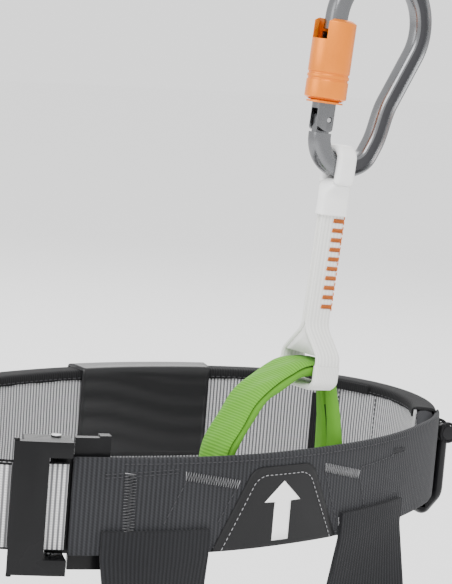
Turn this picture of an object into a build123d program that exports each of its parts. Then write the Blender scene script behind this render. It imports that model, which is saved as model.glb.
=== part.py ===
from math import asin, atan2, cos, degrees, radians, sin, sqrt
import os

from build123d import *

os.makedirs("parts", exist_ok=True)

# All sizes in millimetres. Origin: centre of the waist opening at mid height.
# The wearer faces -Y, their left side is +X, +Z is up.

# Plan of the belt: a four-arc oval through the outer face of the padding
belt_half_width = 175.0
belt_half_depth = 105.0
side_radius = 80.0
side_centre = belt_half_width - side_radius
broad_radius = ((side_centre ** 2 + belt_half_depth ** 2 - side_radius ** 2)
                / (2 * (belt_half_depth - side_radius)))
broad_centre = broad_radius - belt_half_depth
side_angle = degrees(atan2(broad_centre, side_centre))

# Heights
front_half_height = 25.0      # front webbing reaches this far up and down
pad_top = 25.5                # top of the padding, under its binding
pad_drop_side = 36.0          # padding below mid height, beside the wearer's hips
pad_drop_back = 46.0          # padding below mid height, at the wearer's back

# Layers, counted outwards from the outer face of the padding
foam_thickness = 9.0
lining_thickness = 1.4
shell_thickness = 1.4
web_thickness = 2.4
front_panel_thickness = 3.4
binding_wall = 1.2
binding_lap = 4.6             # how far a binding reaches over the edge it covers
layer_gap = 0.05

# Angles round the oval, in degrees from +X, front at 270
pad_start = -44.0
pad_end = 224.0
front_start = 246.0
front_end = 322.0

# Attachment loop
loop_left = -28.0             # middle of each leg, along X
loop_right = 46.0
loop_width = 24.0             # along Y
loop_thickness = 9.0
loop_apex_x = 28.0
loop_apex_height = 69.0
loop_pivot_height = 12.0
loop_core_thickness = 2.4
panel_clearance = 0.5
fold_clearance = 0.3

# Sling and carabiner stand in one frame that leans a little to +X
hang_lean = 4.2
sling_width = 16.0
sling_web = 2.2
sling_length = 127.0
sling_fit = 0.4               # between the sling and the carabiner's bar
sling_play = 1.0              # between the sling and the edges of the green loop
tack_count = 10
tack_pitch = 5.05
tack_height = 2.0
tack_first_up = 42.8
tack_stand = 0.35
bar_width = 11.0              # carabiner bar, in its own plane
bar_depth = 9.6               # carabiner bar, across its plane
end_radius = 15.5
spine_lean = 26.0
spine_length = 60.0
gate_radius = 6.2
sleeve_radius = 10.9
pin_radius = 1.5
pin_fit = 0.05

# Leg loops
leg_centre_x = 106.0
leg_centre_y = -6.0
leg_radius = 80.0             # inner face of the lining
leg_pad_thickness = 8.0
leg_height = 56.0
leg_middle = -205.0

write_count = 0


def write(piece, name):
    """Label a finished sub-part and write it as its own STEP file."""
    global write_count
    piece.part.label = name
    export_step(piece.part, f"parts/{name}.step")
    write_count += 1


# ---------------------------------------------------------------- oval geometry

def oval_arcs(start, end):
    """Arcs of the oval between two angles, as (centre x, centre y, base radius, from, to)."""
    limit = side_angle
    corners = [
        (side_centre, 0.0, side_radius, -limit, limit),
        (0.0, -broad_centre, broad_radius, limit, 180 - limit),
        (-side_centre, 0.0, side_radius, 180 - limit, 180 + limit),
        (0.0, broad_centre, broad_radius, 180 + limit, 360 - limit),
    ]
    found = []
    for turn in (-360, 0, 360):
        for x, y, radius, a, b in corners:
            first = max(a + turn, start)
            last = min(b + turn, end)
            if last - first > 1e-6:
                found.append((x, y, radius, first, last))
    return sorted(found, key=lambda arc: arc[3])


def oval_point(angle, outward):
    """Point at an angle on the oval, moved outwards from the padding's outer face."""
    x, y, radius, a, b = oval_arcs(angle - 0.01, angle + 0.01)[0]
    reach = radius + outward
    return (x + reach * cos(radians(angle)), y + reach * sin(radians(angle)))


def angle_at(x, front=True):
    """Angle on the broad arc whose outer face has this X."""
    lean = degrees(asin(x / broad_radius))
    return 270 + lean if front else 90 - lean


def ring_outline(inner, outer, start, end):
    """Face between two offsets of the oval and two angles."""
    arcs = oval_arcs(start, end)
    with BuildLine() as edge:
        for x, y, radius, a, b in arcs:
            CenterArc((x, y), radius + outer, a, b - a)
            CenterArc((x, y), radius + inner, a, b - a)
        if end - start < 359.9:
            for angle in (start, end):
                Line(oval_point(angle, inner), oval_point(angle, outer))
    make_face(edge.edges())


def ring_piece(name, inner, outer, start, end, low, high):
    """One length of band round the belt."""
    with BuildPart() as band:
        with BuildSketch(Plane.XY.offset(low)):
            ring_outline(inner, outer, start, end)
        extrude(amount=high - low)
    write(band, name)


def tangent_plane(angle, outward, height):
    """Plane on the belt's surface: X along the belt, Y up, Z outwards."""
    x, y = oval_point(angle, outward)
    along = (-sin(radians(angle)), cos(radians(angle)), 0)
    out = (cos(radians(angle)), sin(radians(angle)), 0)
    return Plane(origin=(x, y, height), x_dir=along, z_dir=out)


# ---------------------------------------------------------------- padded belt

lining_inner = -(foam_thickness + lining_thickness)
shell_outer = shell_thickness
web_outer = shell_outer + web_thickness


def side_profile(top, drop_side, drop_back):
    """Side view of the padding: its lower edge falls towards the back."""
    reach = belt_half_depth + 30
    with BuildLine() as edge:
        Polyline(
            (-reach, top), (reach, top), (reach, -drop_back), (belt_half_depth * 0.7, -drop_back),
            (0, -drop_side), (-reach, -drop_side + 8), (-reach, top),
        )
    make_face(edge.edges())


def shaped_band(name, inner, outer, start, end, trim=0.0):
    """A length of the padded belt, cut to the side view."""
    with BuildPart() as band:
        with BuildSketch(Plane.XY.offset(-80)):
            ring_outline(inner, outer, start, end)
        extrude(amount=160)
        with BuildSketch(Plane.YZ):
            side_profile(pad_top - trim, pad_drop_side - trim, pad_drop_back - trim)
        extrude(amount=belt_half_width + 40, both=True, mode=Mode.INTERSECT)
    write(band, name)


shaped_band("belt_lining", lining_inner, -foam_thickness - layer_gap, pad_start, pad_end)
foam_cuts = {"foam_left": (pad_start, 46.0), "foam_back": (46.0, 134.0), "foam_right": (134.0, pad_end)}
for name, (start, end) in foam_cuts.items():
    shaped_band(name, -foam_thickness, -layer_gap, start + 0.1, end - 0.1)
shaped_band("belt_shell", 0, shell_outer, pad_start, pad_end)


def edge_binding(name, upper):
    """U-shaped tape over one edge of the padded belt."""
    wall = binding_wall
    inner = lining_inner - layer_gap
    outer = shell_outer + layer_gap
    shift = 0.0 if upper else 1.0
    with BuildPart() as tape:
        with BuildSketch(Plane.XY.offset(-90)):
            ring_outline(inner - wall, outer + wall, pad_start, pad_end)
        extrude(amount=180)
        with BuildSketch(Plane.XY.offset(-90)):
            ring_outline(inner, outer, pad_start - 1, pad_end + 1)
        extrude(amount=180, mode=Mode.SUBTRACT)
        with BuildSketch(Plane.YZ):
            binding_profile(upper, wall + layer_gap, -binding_lap)
        extrude(amount=belt_half_width + 40, both=True, mode=Mode.INTERSECT)
    with BuildPart() as cap:
        with BuildSketch(Plane.XY.offset(-90)):
            ring_outline(inner, outer, pad_start, pad_end)
        extrude(amount=180)
        with BuildSketch(Plane.YZ):
            binding_profile(upper, wall + layer_gap, layer_gap)
        extrude(amount=belt_half_width + 40, both=True, mode=Mode.INTERSECT)
    with BuildPart() as whole:
        add(tape.part)
        add(cap.part)
    write(whole, name)


def binding_profile(upper, beyond, within):
    """Strip along the top or bottom edge in side view, from within to beyond that edge."""
    reach = belt_half_depth + 30
    bend = belt_half_depth * 0.7
    if upper:
        low = pad_top + within
        high = pad_top + beyond
        with BuildLine() as edge:
            Polyline((-reach, low), (reach, low), (reach, high), (-reach, high), (-reach, low))
        make_face(edge.edges())
        return
    side = -pad_drop_side
    back = -pad_drop_back
    with BuildLine() as edge:
        Polyline(
            (-reach, side + 8 - within), (0, side - within), (bend, back - within), (reach, back - within),
            (reach, back - beyond), (bend, back - beyond), (0, side - beyond), (-reach, side + 8 - beyond),
            (-reach, side + 8 - within),
        )
    make_face(edge.edges())


edge_binding("top_binding", True)
edge_binding("bottom_binding", False)

# ---------------------------------------------------------------- waist webbing

web_half_height = 20.0
web_low = -web_half_height - 3
web_high = web_half_height - 3
web_end = 214.0
ring_piece("waist_webbing", shell_outer + layer_gap, web_outer, front_end - 360 + 0.4, web_end,
           web_low, web_high)

lap_inner = shell_outer + binding_wall + 3 * layer_gap   # clears the bindings it laps over
panel_face = lap_inner + 2.0


def front_panel():
    """Ribbed front webbing between the right side of the belt and the buckle."""
    lap_start = pad_start + 360 - 1
    with BuildPart() as panel:
        with BuildSketch(Plane.XY.offset(-front_half_height)):
            ring_outline(lap_inner, panel_face, lap_start, front_end)
            ring_outline(panel_face - front_panel_thickness, panel_face, front_start, lap_start)
        extrude(amount=2 * front_half_height)
    write(panel, "front_panel")


front_panel()

# ---------------------------------------------------------------- patch and mark

patch_top = 18.0
patch_bottom = -24.0
patch_top_half = 19.0
patch_bottom_half = 40.0
patch_thickness = 1.0
mark_thickness = 0.4
arrow_tip = 10.0
arrow_head_half = 11.4
arrow_head_height = 10.5
arrow_stem_half = 5.2
arrow_foot = -21.0


def wrapped(name, inner, outer, outline):
    """Thin piece on the front panel: a ring sector cut to an outline seen from the front."""
    with BuildPart() as piece:
        with BuildSketch(Plane.XY.offset(-60)):
            ring_outline(inner, outer, 250, 290)
        extrude(amount=120)
        with BuildSketch(Plane.XZ.offset(20)):
            outline()
        extrude(amount=belt_half_depth, mode=Mode.INTERSECT)
    write(piece, name)


def patch_outline():
    with BuildLine() as edge:
        Polyline(
            (-patch_top_half, patch_top), (patch_top_half, patch_top), (patch_bottom_half, patch_bottom),
            (-patch_bottom_half, patch_bottom), (-patch_top_half, patch_top),
        )
    make_face(edge.edges())
    fillet(vertices().group_by(Axis.Y)[-1], radius=5)


def arrow_outline():
    shoulder = arrow_tip - arrow_head_height
    with BuildLine() as edge:
        Polyline(
            (0, arrow_tip), (arrow_head_half, shoulder), (arrow_stem_half, shoulder),
            (arrow_stem_half, arrow_foot), (-arrow_stem_half, arrow_foot), (-arrow_stem_half, shoulder),
            (-arrow_head_half, shoulder), (0, arrow_tip),
        )
    make_face(edge.edges())


patch_face = panel_face + patch_thickness
wrapped("arrow_patch", panel_face + layer_gap, patch_face, patch_outline)
wrapped("arrow_mark", patch_face + 0.01, patch_face + mark_thickness, arrow_outline)

# ---------------------------------------------------------------- back sleeve and strips

sleeve_start = 70.0
sleeve_end = 88.5
sleeve_drop = 27.0
sleeve_wall = 1.2
skin_in = lining_inner - layer_gap - binding_wall - layer_gap


def label_sleeve():
    """Coated cloth sleeve folded over the top edge of the back."""
    top = pad_top + binding_wall + 3 * layer_gap
    with BuildPart() as sleeve:
        with BuildSketch(Plane.XY.offset(-sleeve_drop)):
            ring_outline(skin_in - sleeve_wall, skin_in, sleeve_start, sleeve_end)
            ring_outline(web_outer + layer_gap, web_outer + layer_gap + sleeve_wall, sleeve_start, sleeve_end)
        extrude(amount=top + sleeve_drop)
        with BuildSketch(Plane.XY.offset(top)):
            ring_outline(skin_in - sleeve_wall, web_outer + layer_gap + sleeve_wall, sleeve_start, sleeve_end)
        extrude(amount=sleeve_wall)
    write(sleeve, "label_sleeve")


label_sleeve()
strip_wall = 1.6
ring_piece("inner_strip_left", skin_in - strip_wall, skin_in, 36.5, 41.0, -30, 16)
ring_piece("inner_strip_right", skin_in - strip_wall, skin_in, 139.0, 143.5, -30, 16)
ring_piece("top_strip", skin_in - strip_wall, skin_in, 9.0, 33.0, 20.5, 26)

# ---------------------------------------------------------------- waist strap and buckle

strap_inner = lap_inner
strap_outer = lap_inner + 2.0
strap_half = 22.5
buckle_pin_angle = 244.2
bar_start = 240.8
bar_end = 243.4
rail_low = 25.6
rail_high = 33.5
frame_front = strap_outer + 5.2
lever_front = -1.6
lever_back = -6.0
lever_end = 250.0
ring_piece("waist_strap", strap_inner, strap_outer, web_end + 0.4, front_start - 0.4,
           -strap_half, strap_half)
tail_inner = strap_outer + 0.35
tail_outer = tail_inner + 1.9
tail_start = 219.0
tail_end = 238.0
ring_piece("strap_tail", tail_inner, tail_outer, tail_start, tail_end, -strap_half + 1, strap_half - 1)


def tail_keeper():
    """Elastic ring that holds the free tail against the strap."""
    wall = 1.2
    fit = 0.3
    with BuildPart() as keeper:
        with BuildSketch(Plane.XY.offset(-strap_half - fit - wall)):
            ring_outline(strap_inner - fit - wall, tail_outer + fit + wall, 229.0, 233.0)
        extrude(amount=2 * (strap_half + fit + wall))
        with BuildSketch(Plane.XY.offset(-strap_half - fit)):
            ring_outline(strap_inner - fit, tail_outer + fit, 228.0, 234.0)
        extrude(amount=2 * (strap_half + fit), mode=Mode.SUBTRACT)
    write(keeper, "tail_keeper")


def buckle_frame():
    """Broad bar in front of the strap, with a rail above and below it."""
    with BuildPart() as frame:
        with BuildSketch(Plane.XY.offset(-rail_high)):
            ring_outline(frame_front - 3.6, frame_front, bar_start - 2.4, bar_end)
        extrude(amount=2 * rail_high)
        for low in (rail_low, -rail_high):
            with BuildSketch(Plane.XY.offset(low)):
                ring_outline(lever_back, frame_front, bar_start, buckle_pin_angle + 1.5)
            extrude(amount=rail_high - rail_low)
        with Locations(buckle_pin_place(0)):
            Cylinder(radius=pin_radius + pin_fit, height=3 * rail_high, mode=Mode.SUBTRACT)
    write(frame, "buckle_frame")


def buckle_pin_place(height):
    x, y = oval_point(buckle_pin_angle, (lever_front + lever_back) / 2)
    return Location((x, y, height))


def buckle_lever():
    """Thumb lever behind the strap: knuckle on the pin, plate, and a raised thumb ridge."""
    half = rail_low - 0.4
    knuckle = 2.1
    with BuildPart() as lever:
        with BuildSketch(Plane.XY.offset(-half)):
            ring_outline(lever_back, lever_front, buckle_pin_angle + 0.3, lever_end)
        extrude(amount=2 * half)
        with Locations(buckle_pin_place(0)):
            Cylinder(radius=knuckle, height=2 * half)
        for low, high in ((half, rail_high), (-rail_high, -half)):
            with BuildSketch(Plane.XY.offset(low)):
                ring_outline(lever_back, lever_front, buckle_pin_angle + 2.0, lever_end)
            extrude(amount=high - low)
        with BuildSketch(Plane.XY.offset(rail_high - 2.0)):
            ring_outline(lever_back - 1.5, lever_front, lever_end - 1.2, lever_end)
        extrude(amount=3.0)
        with Locations(buckle_pin_place(0)):
            Cylinder(radius=pin_radius + pin_fit, height=3 * rail_high, mode=Mode.SUBTRACT)
    write(lever, "buckle_lever")


def buckle_pin():
    head = 0.8
    with BuildPart() as pin:
        with Locations(buckle_pin_place(0)):
            Cylinder(radius=pin_radius, height=2 * (rail_high + 0.1))
        for side in (1, -1):
            with Locations(buckle_pin_place(side * (rail_high + 0.1 + head / 2))):
                Cylinder(radius=pin_radius + 1.1, height=head)
    write(pin, "buckle_pin")


def buckle_bar():
    """Round cross bar that the tail of the strap turns on."""
    x, y = oval_point(bar_start - 1.6, frame_front - 1.8)
    with BuildPart() as bar:
        with Locations((x, y, rail_high + 0.6), (x, y, -rail_high - 0.6)):
            Cylinder(radius=1.4, height=1.1)
    write(bar, "buckle_rivets")


tail_keeper()
buckle_frame()
buckle_lever()
buckle_pin()
buckle_bar()

# ---------------------------------------------------------------- side tabs and gear loops

gear_loop_drop = 52.0
gear_tube = 3.0
gear_out = web_outer + 6.6
tab_width = 14.0
tab_plate = 1.6
gear_top = 10.0
gear_eye = 4.2
gear_fit = 0.3
tab_root = 7.0                # from a tab's fold back to its plate


def gear_points(side):
    """Two ends of a gear loop on the belt's side, as angles."""
    return (-30.0, 6.0) if side > 0 else (174.0, 207.0)


def gear_axis(side):
    """Ends of the gear loop's hinge line and the line's direction."""
    first, last = gear_points(side)
    a = oval_point(first, gear_out)
    b = oval_point(last, gear_out)
    return a, b, (b[0] - a[0], b[1] - a[1], 0)


def gear_loop(name, side):
    """Stiff moulded loop that hangs from two sewn tabs."""
    a, b, along = gear_axis(side)
    low = gear_top - gear_loop_drop
    quarter_a = (a[0] * 0.75 + b[0] * 0.25, a[1] * 0.75 + b[1] * 0.25)
    quarter_b = (a[0] * 0.25 + b[0] * 0.75, a[1] * 0.25 + b[1] * 0.75)
    route = [(*a, gear_top), (*a, low + 14), (*quarter_a, low), (*quarter_b, low), (*b, low + 14),
             (*b, gear_top)]
    with BuildPart() as loop:
        with BuildLine() as path:
            FilletPolyline(*route, radius=9)
        with BuildSketch(Plane(origin=route[0], z_dir=(0, 0, -1))):
            Circle(gear_tube)
        sweep(path=path.wire())
        for x, y in (a, b):
            with Locations(Plane(origin=(x, y, gear_top), z_dir=along)):
                Cylinder(radius=gear_eye, height=tab_width)
    write(loop, name)


def gear_tabs(name, side):
    """Webbing tabs on the belt, each with two folds round the gear loop's eye."""
    half = degrees(tab_width / 2 / (side_radius + web_outer))
    fold = 2.8
    a, b, along = gear_axis(side)
    with BuildPart() as tabs:
        for angle, (x, y) in zip(gear_points(side), (a, b)):
            with BuildSketch(Plane.XY.offset(-web_half_height + 2)):
                ring_outline(web_outer + layer_gap, web_outer + layer_gap + tab_plate,
                             angle - half, angle + half)
            extrude(amount=2 * web_half_height - 6)
            eye_place = Plane(origin=(x, y, gear_top), z_dir=along)
            inward = tangent_plane(angle, 0, 0).z_dir
            for shift in (-1, 1):
                with Locations(eye_place.offset(shift * (tab_width - fold) / 2)):
                    Cylinder(radius=gear_eye + gear_fit + tab_plate, height=fold)
                root = eye_place.offset(shift * (tab_width - fold) / 2).origin - inward * tab_root / 2
                with Locations(Plane(origin=root, x_dir=along, z_dir=inward)):
                    Box(fold, 2 * gear_eye, tab_root)
            with Locations(eye_place):
                Cylinder(radius=gear_eye + gear_fit, height=2 * tab_width, mode=Mode.SUBTRACT)
            with BuildSketch(Plane.XY.offset(-2 * web_half_height)):
                ring_outline(0, web_outer + layer_gap, angle - 3 * half, angle + 3 * half)
            extrude(amount=4 * web_half_height, mode=Mode.SUBTRACT)
    write(tabs, name)


for name, side in (("left", 1), ("right", -1)):
    gear_loop(f"gear_loop_{name}", side)
    gear_tabs(f"gear_tabs_{name}", side)

# ---------------------------------------------------------------- green attachment loop

loop_y = -(belt_half_depth - panel_clearance - 4.6 - loop_width / 2)
loop_core_half = loop_width / 2 - 3.0
foot_radius = loop_width / 2
foot_drop = 30.0
fold_limit = 62.0             # the loop folds this far towards the wearer


def loop_centreline():
    """Path of the loop in its own plane, from the left foot over the apex to the right foot."""
    top = loop_apex_height - loop_thickness / 2
    corners = [
        (loop_left, loop_pivot_height), (loop_left + 4, loop_pivot_height + 16),
        (loop_apex_x - 9, top), (loop_apex_x + 14, top - 1.0),
        (loop_right - 1, loop_pivot_height + 20), (loop_right, loop_pivot_height),
    ]
    return corners, (14, 11, 11, 20)


def band_along(thickness, width):
    """Solid of the loop's band: its centreline thickened in its plane, then given its width."""
    corners, radii = loop_centreline()
    with BuildPart() as band:
        with BuildSketch(Plane.XZ.offset(-loop_y)):
            with BuildLine() as path:
                FilletPolyline(*corners, radius=radii)
            trace(path.line, line_width=thickness)
        extrude(amount=width / 2, both=True)
    return band.part


def rounded_feet(thickness, radius):
    """Rounded ends of both legs, each a disc about the fold's axis."""
    with BuildPart() as feet:
        for x in (loop_left, loop_right):
            with Locations(Plane(origin=(x, loop_y, loop_pivot_height), z_dir=(1, 0, 0))):
                Cylinder(radius=radius, height=thickness)
    return feet.part


def loop_cover():
    """Padded green cover, hollow for the core webbing."""
    with BuildPart() as cover:
        add(band_along(loop_thickness, loop_width))
        add(rounded_feet(loop_thickness, foot_radius))
        add(band_along(loop_core_thickness + 0.2, 2 * loop_core_half + 0.2), mode=Mode.SUBTRACT)
        add(rounded_feet(loop_core_thickness + 0.2, loop_core_half + 0.1), mode=Mode.SUBTRACT)
    write(cover, "loop_cover")


def loop_core():
    with BuildPart() as core:
        add(band_along(loop_core_thickness, 2 * loop_core_half))
        add(rounded_feet(loop_core_thickness, loop_core_half))
    write(core, "loop_core")


def loop_feet(name, x):
    """Sewn foot behind the front panel, hollowed for the leg's rounded end."""
    top = loop_pivot_height - 2.0
    with BuildPart() as foot:
        with BuildSketch(Plane.XY.offset(top - foot_drop)):
            with Locations((x, loop_y)):
                Rectangle(loop_thickness, loop_width)
        extrude(amount=foot_drop)
        with Locations(Plane(origin=(x, loop_y, loop_pivot_height), z_dir=(1, 0, 0))):
            Cylinder(radius=foot_radius + fold_clearance, height=2 * loop_thickness, mode=Mode.SUBTRACT)
        folded = Plane(origin=(x, loop_y, loop_pivot_height), x_dir=(1, 0, 0),
                       z_dir=(0, sin(radians(fold_limit)), cos(radians(fold_limit))))
        with BuildSketch(folded):
            Rectangle(2 * loop_thickness, 2 * (foot_radius + fold_clearance))
        extrude(amount=foot_drop, mode=Mode.SUBTRACT)
    write(foot, name)


loop_cover()
loop_core()
loop_feet("loop_foot_left", loop_left)
loop_feet("loop_foot_right", loop_right)

# ---------------------------------------------------------------- sling

lean_up = (sin(radians(hang_lean)), 0, cos(radians(hang_lean)))
lean_across = (cos(radians(hang_lean)), 0, -sin(radians(hang_lean)))
bar_half = bar_depth / 2
low_eye_width = loop_width + 2 * sling_play         # clear width of the eye round the green loop
sling_slack = 4.1
eye_shoulder = loop_thickness + sling_slack + 4.0   # straight sides of the lower eye end here
eye_neck = 14.0                # from there up to the closed shank, outside and inside
eye_inner = 11.7
sling_bottom = loop_apex_height - loop_thickness - sling_slack - sling_web
sling_origin = (loop_apex_x, loop_y, sling_bottom)
eye_rise = 8.5                 # top of the small eye above the carabiner's bar centre
eye_half = 4.3                 # the webbing is drawn in where it passes through the small eye
bar_centre_up = sling_length - sling_web - eye_rise


def hang_plane(up):
    """Plane of the carabiner: X across, Y up the leaning line, Z towards the front."""
    x = sling_origin[0] + lean_up[0] * up
    z = sling_origin[2] + lean_up[2] * up
    return Plane(origin=(x, loop_y, z), x_dir=lean_across, z_dir=(0, -1, 0))


def side_plane(up):
    """Plane across the sling's width: X towards the back, Y up the leaning line."""
    place = hang_plane(up)
    return Plane(origin=place.origin, x_dir=(0, 1, 0), z_dir=lean_across)


def sling_outline(inward):
    """Side outline of the sling: a wide eye, a closed shank and a small eye."""
    low_half = low_eye_width / 2 + sling_web - inward
    bottom = inward
    shoulder = eye_shoulder
    neck = shoulder + eye_neck
    shank = sling_web + 0.05 - inward
    bar_reach = bar_half + sling_fit + sling_web - inward
    top = sling_length - inward
    high_neck = bar_centre_up - 16.0
    with BuildLine() as edge:
        Polyline(
            (low_half - 3, bottom), (low_half, bottom + 3), (low_half, shoulder), (shank, neck),
            (shank, high_neck), (bar_reach, bar_centre_up - 7), (bar_reach, top - 4),
            (bar_reach - 3, top), (3 - bar_reach, top), (-bar_reach, top - 4),
            (-bar_reach, bar_centre_up - 7), (-shank, high_neck), (-shank, neck),
            (-low_half, shoulder), (-low_half, bottom + 3), (3 - low_half, bottom), (low_half - 3, bottom),
        )
    make_face(edge.edges())


def front_taper(full, drawn, low, top):
    """Front outline of the webbing: full width below, drawn in at the small eye."""
    start = bar_centre_up - 22.0
    end = bar_centre_up - 9.0
    with BuildLine() as edge:
        Polyline(
            (full, low), (full, start), (drawn, end), (drawn, top), (-drawn, top), (-drawn, end),
            (-full, start), (-full, low), (full, low),
        )
    make_face(edge.edges())


def sling():
    """Narrow white webbing sewn into two eyes."""
    half = low_eye_width / 2
    shoulder = eye_shoulder + sling_web
    reach = bar_half + sling_fit
    top = sling_length - sling_web
    with BuildPart() as web:
        with BuildSketch(side_plane(0)):
            sling_outline(0.0)
        extrude(amount=sling_width / 2, both=True)
        with BuildSketch(hang_plane(0)):
            front_taper(sling_width / 2, eye_half, -10, sling_length + 10)
        extrude(amount=3 * loop_width, both=True, mode=Mode.INTERSECT)
        with BuildSketch(side_plane(0)):
            with BuildLine() as low_eye:
                Polyline(
                    (half - 3, sling_web), (half, sling_web + 3), (half, shoulder), (0, shoulder + eye_inner),
                    (-half, shoulder), (-half, sling_web + 3), (3 - half, sling_web), (half - 3, sling_web),
                )
            make_face(low_eye.edges())
            with BuildLine() as high_eye:
                Polyline(
                    (0, bar_centre_up - 15), (1, bar_centre_up - 14), (reach, bar_centre_up - 7),
                    (reach, top - 2.4), (reach - 2, top), (2 - reach, top), (-reach, top - 2.4),
                    (-reach, bar_centre_up - 7), (-1, bar_centre_up - 14), (0, bar_centre_up - 15),
                )
            make_face(high_eye.edges())
        extrude(amount=sling_width, both=True, mode=Mode.SUBTRACT)
    write(web, "sling_web")


def sling_tacks():
    """Raised thread bars across the right half of the shank, front and back."""
    first = tack_first_up
    with BuildPart() as tacks:
        for index in range(tack_count):
            up = first + index * tack_pitch
            for face in (-1, 1):
                with BuildSketch(side_plane(0)):
                    with Locations((face * (sling_web + 0.06 + tack_stand / 2), up)):
                        Rectangle(tack_stand, tack_height)
                extrude(amount=sling_width / 2 - 0.5, dir=lean_across)
    write(tacks, "sling_tacks")


keeper_wall = 1.0
keeper_base = sling_length - 36.0
keeper_fit = 0.15


def sling_keeper():
    """Tapered rubber hood round the small eye, open where the carabiner passes."""
    reach = bar_half + sling_fit + sling_web + keeper_fit
    neck = sling_web + keeper_fit + 0.1
    wide = sling_width / 2 + keeper_fit
    drawn = eye_half + keeper_fit
    top = sling_length + keeper_fit
    with BuildPart() as keeper:
        with BuildSketch(side_plane(0)):
            hood_outline(neck + keeper_wall, reach + keeper_wall, keeper_base, top + keeper_wall)
        extrude(amount=wide + keeper_wall, both=True)
        with BuildSketch(hang_plane(0)):
            front_taper(wide + keeper_wall, drawn + keeper_wall, keeper_base - 1, top + 9)
        extrude(amount=loop_width, both=True, mode=Mode.INTERSECT)
        add(hood_core(neck, reach, wide, drawn, top), mode=Mode.SUBTRACT)
        with BuildSketch(side_plane(0)):
            with Locations((0, bar_centre_up + 1.8)):
                Rectangle(bar_depth + 1.4, bar_width + 5.6)
        extrude(amount=2 * sling_width, both=True, mode=Mode.SUBTRACT)
    write(keeper, "sling_keeper")


def hood_core(neck, reach, wide, drawn, top):
    """Space inside the hood."""
    with BuildPart(mode=Mode.PRIVATE) as core:
        with BuildSketch(side_plane(0)):
            hood_outline(neck, reach, keeper_base - 0.5, top)
        extrude(amount=wide, both=True)
        with BuildSketch(hang_plane(0)):
            front_taper(wide, drawn, keeper_base - 1, top + 9)
        extrude(amount=loop_width, both=True, mode=Mode.INTERSECT)
    return core.part


def hood_outline(neck, reach, low, top):
    with BuildLine() as edge:
        Polyline(
            (neck, low), (neck, bar_centre_up - 16), (reach, bar_centre_up - 7), (reach, top - 3),
            (reach - 3, top), (3 - reach, top), (-reach, top - 3), (-reach, bar_centre_up - 7),
            (-neck, bar_centre_up - 16), (-neck, low), (neck, low),
        )
    make_face(edge.edges())


sling()
sling_tacks()
sling_keeper()

# ---------------------------------------------------------------- carabiner

gate_across = -end_radius
gate_hinge_up = 23.5
gate_top = 68.0
nose_up = 69.6
body_end_up = 16.6
tongue_half = 2.0
tongue_fit = 0.35
key_width = 4.4               # key under the nose, held in the gate's slot
key_height = 4.0
key_half = 1.5
bow_radius = ((end_radius * cos(radians(spine_lean)) + spine_length * sin(radians(spine_lean)) + end_radius)
              / (1 + cos(radians(spine_lean))))
spine_foot = (end_radius * cos(radians(spine_lean)), end_radius - end_radius * sin(radians(spine_lean)))
spine_head = (spine_foot[0] + spine_length * sin(radians(spine_lean)),
              spine_foot[1] + spine_length * cos(radians(spine_lean)))
bow_centre = (gate_across + bow_radius, spine_head[1] + bow_radius * sin(radians(spine_lean)))


def carabiner_plane():
    return hang_plane(bar_centre_up)


def carabiner_body():
    """Forged body: a bar of rounded section, hollowed to an I along the spine."""
    place = carabiner_plane()
    with BuildPart() as body:
        with BuildLine(place) as path:
            Line((gate_across, body_end_up), (gate_across, end_radius))
            CenterArc((0, end_radius), end_radius, 180, 180 - spine_lean)
            Line(spine_foot, spine_head)
            CenterArc(bow_centre, bow_radius, -spine_lean, 180 + spine_lean)
            Line((gate_across, bow_centre[1]), (gate_across, nose_up))
        start = place.from_local_coords(Vector(gate_across, body_end_up, 0))
        with BuildSketch(Plane(origin=start, x_dir=lean_across, z_dir=lean_up)):
            RectangleRounded(bar_width, bar_depth, 3.4)
        sweep(path=path.wire())
        for face in (1, -1):
            with BuildSketch(place.offset(face * bar_half)):
                spine_pocket()
            extrude(amount=-face * 2.6, mode=Mode.SUBTRACT)
        with BuildSketch(place):
            hinge_tongue()
        extrude(amount=tongue_half, both=True)
        with BuildSketch(place):
            with Locations((gate_across, gate_hinge_up)):
                Circle(pin_radius + pin_fit)
        extrude(amount=bar_width, both=True, mode=Mode.SUBTRACT)
        with BuildSketch(place):
            with Locations((gate_across + 0.6, nose_up - key_height / 2 + 0.4)):
                Rectangle(key_width, key_height)
        extrude(amount=key_half, both=True)
    write(body, "carabiner_body")


def spine_pocket():
    """Long pocket between the flanges of the spine."""
    middle = ((spine_foot[0] + spine_head[0]) / 2, (spine_foot[1] + spine_head[1]) / 2)
    with Locations(Location((middle[0], middle[1], 0), (0, 0, 90 - spine_lean))):
        SlotOverall(spine_length + 6, bar_width - 4.6)


def hinge_tongue():
    """Tongue of the body that the gate straddles, rounded about the pin."""
    with Locations((gate_across, (body_end_up - 2 + gate_hinge_up) / 2)):
        Rectangle(8.4, gate_hinge_up - body_end_up + 2)
    with Locations((gate_across, gate_hinge_up)):
        Circle(4.2)


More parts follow.
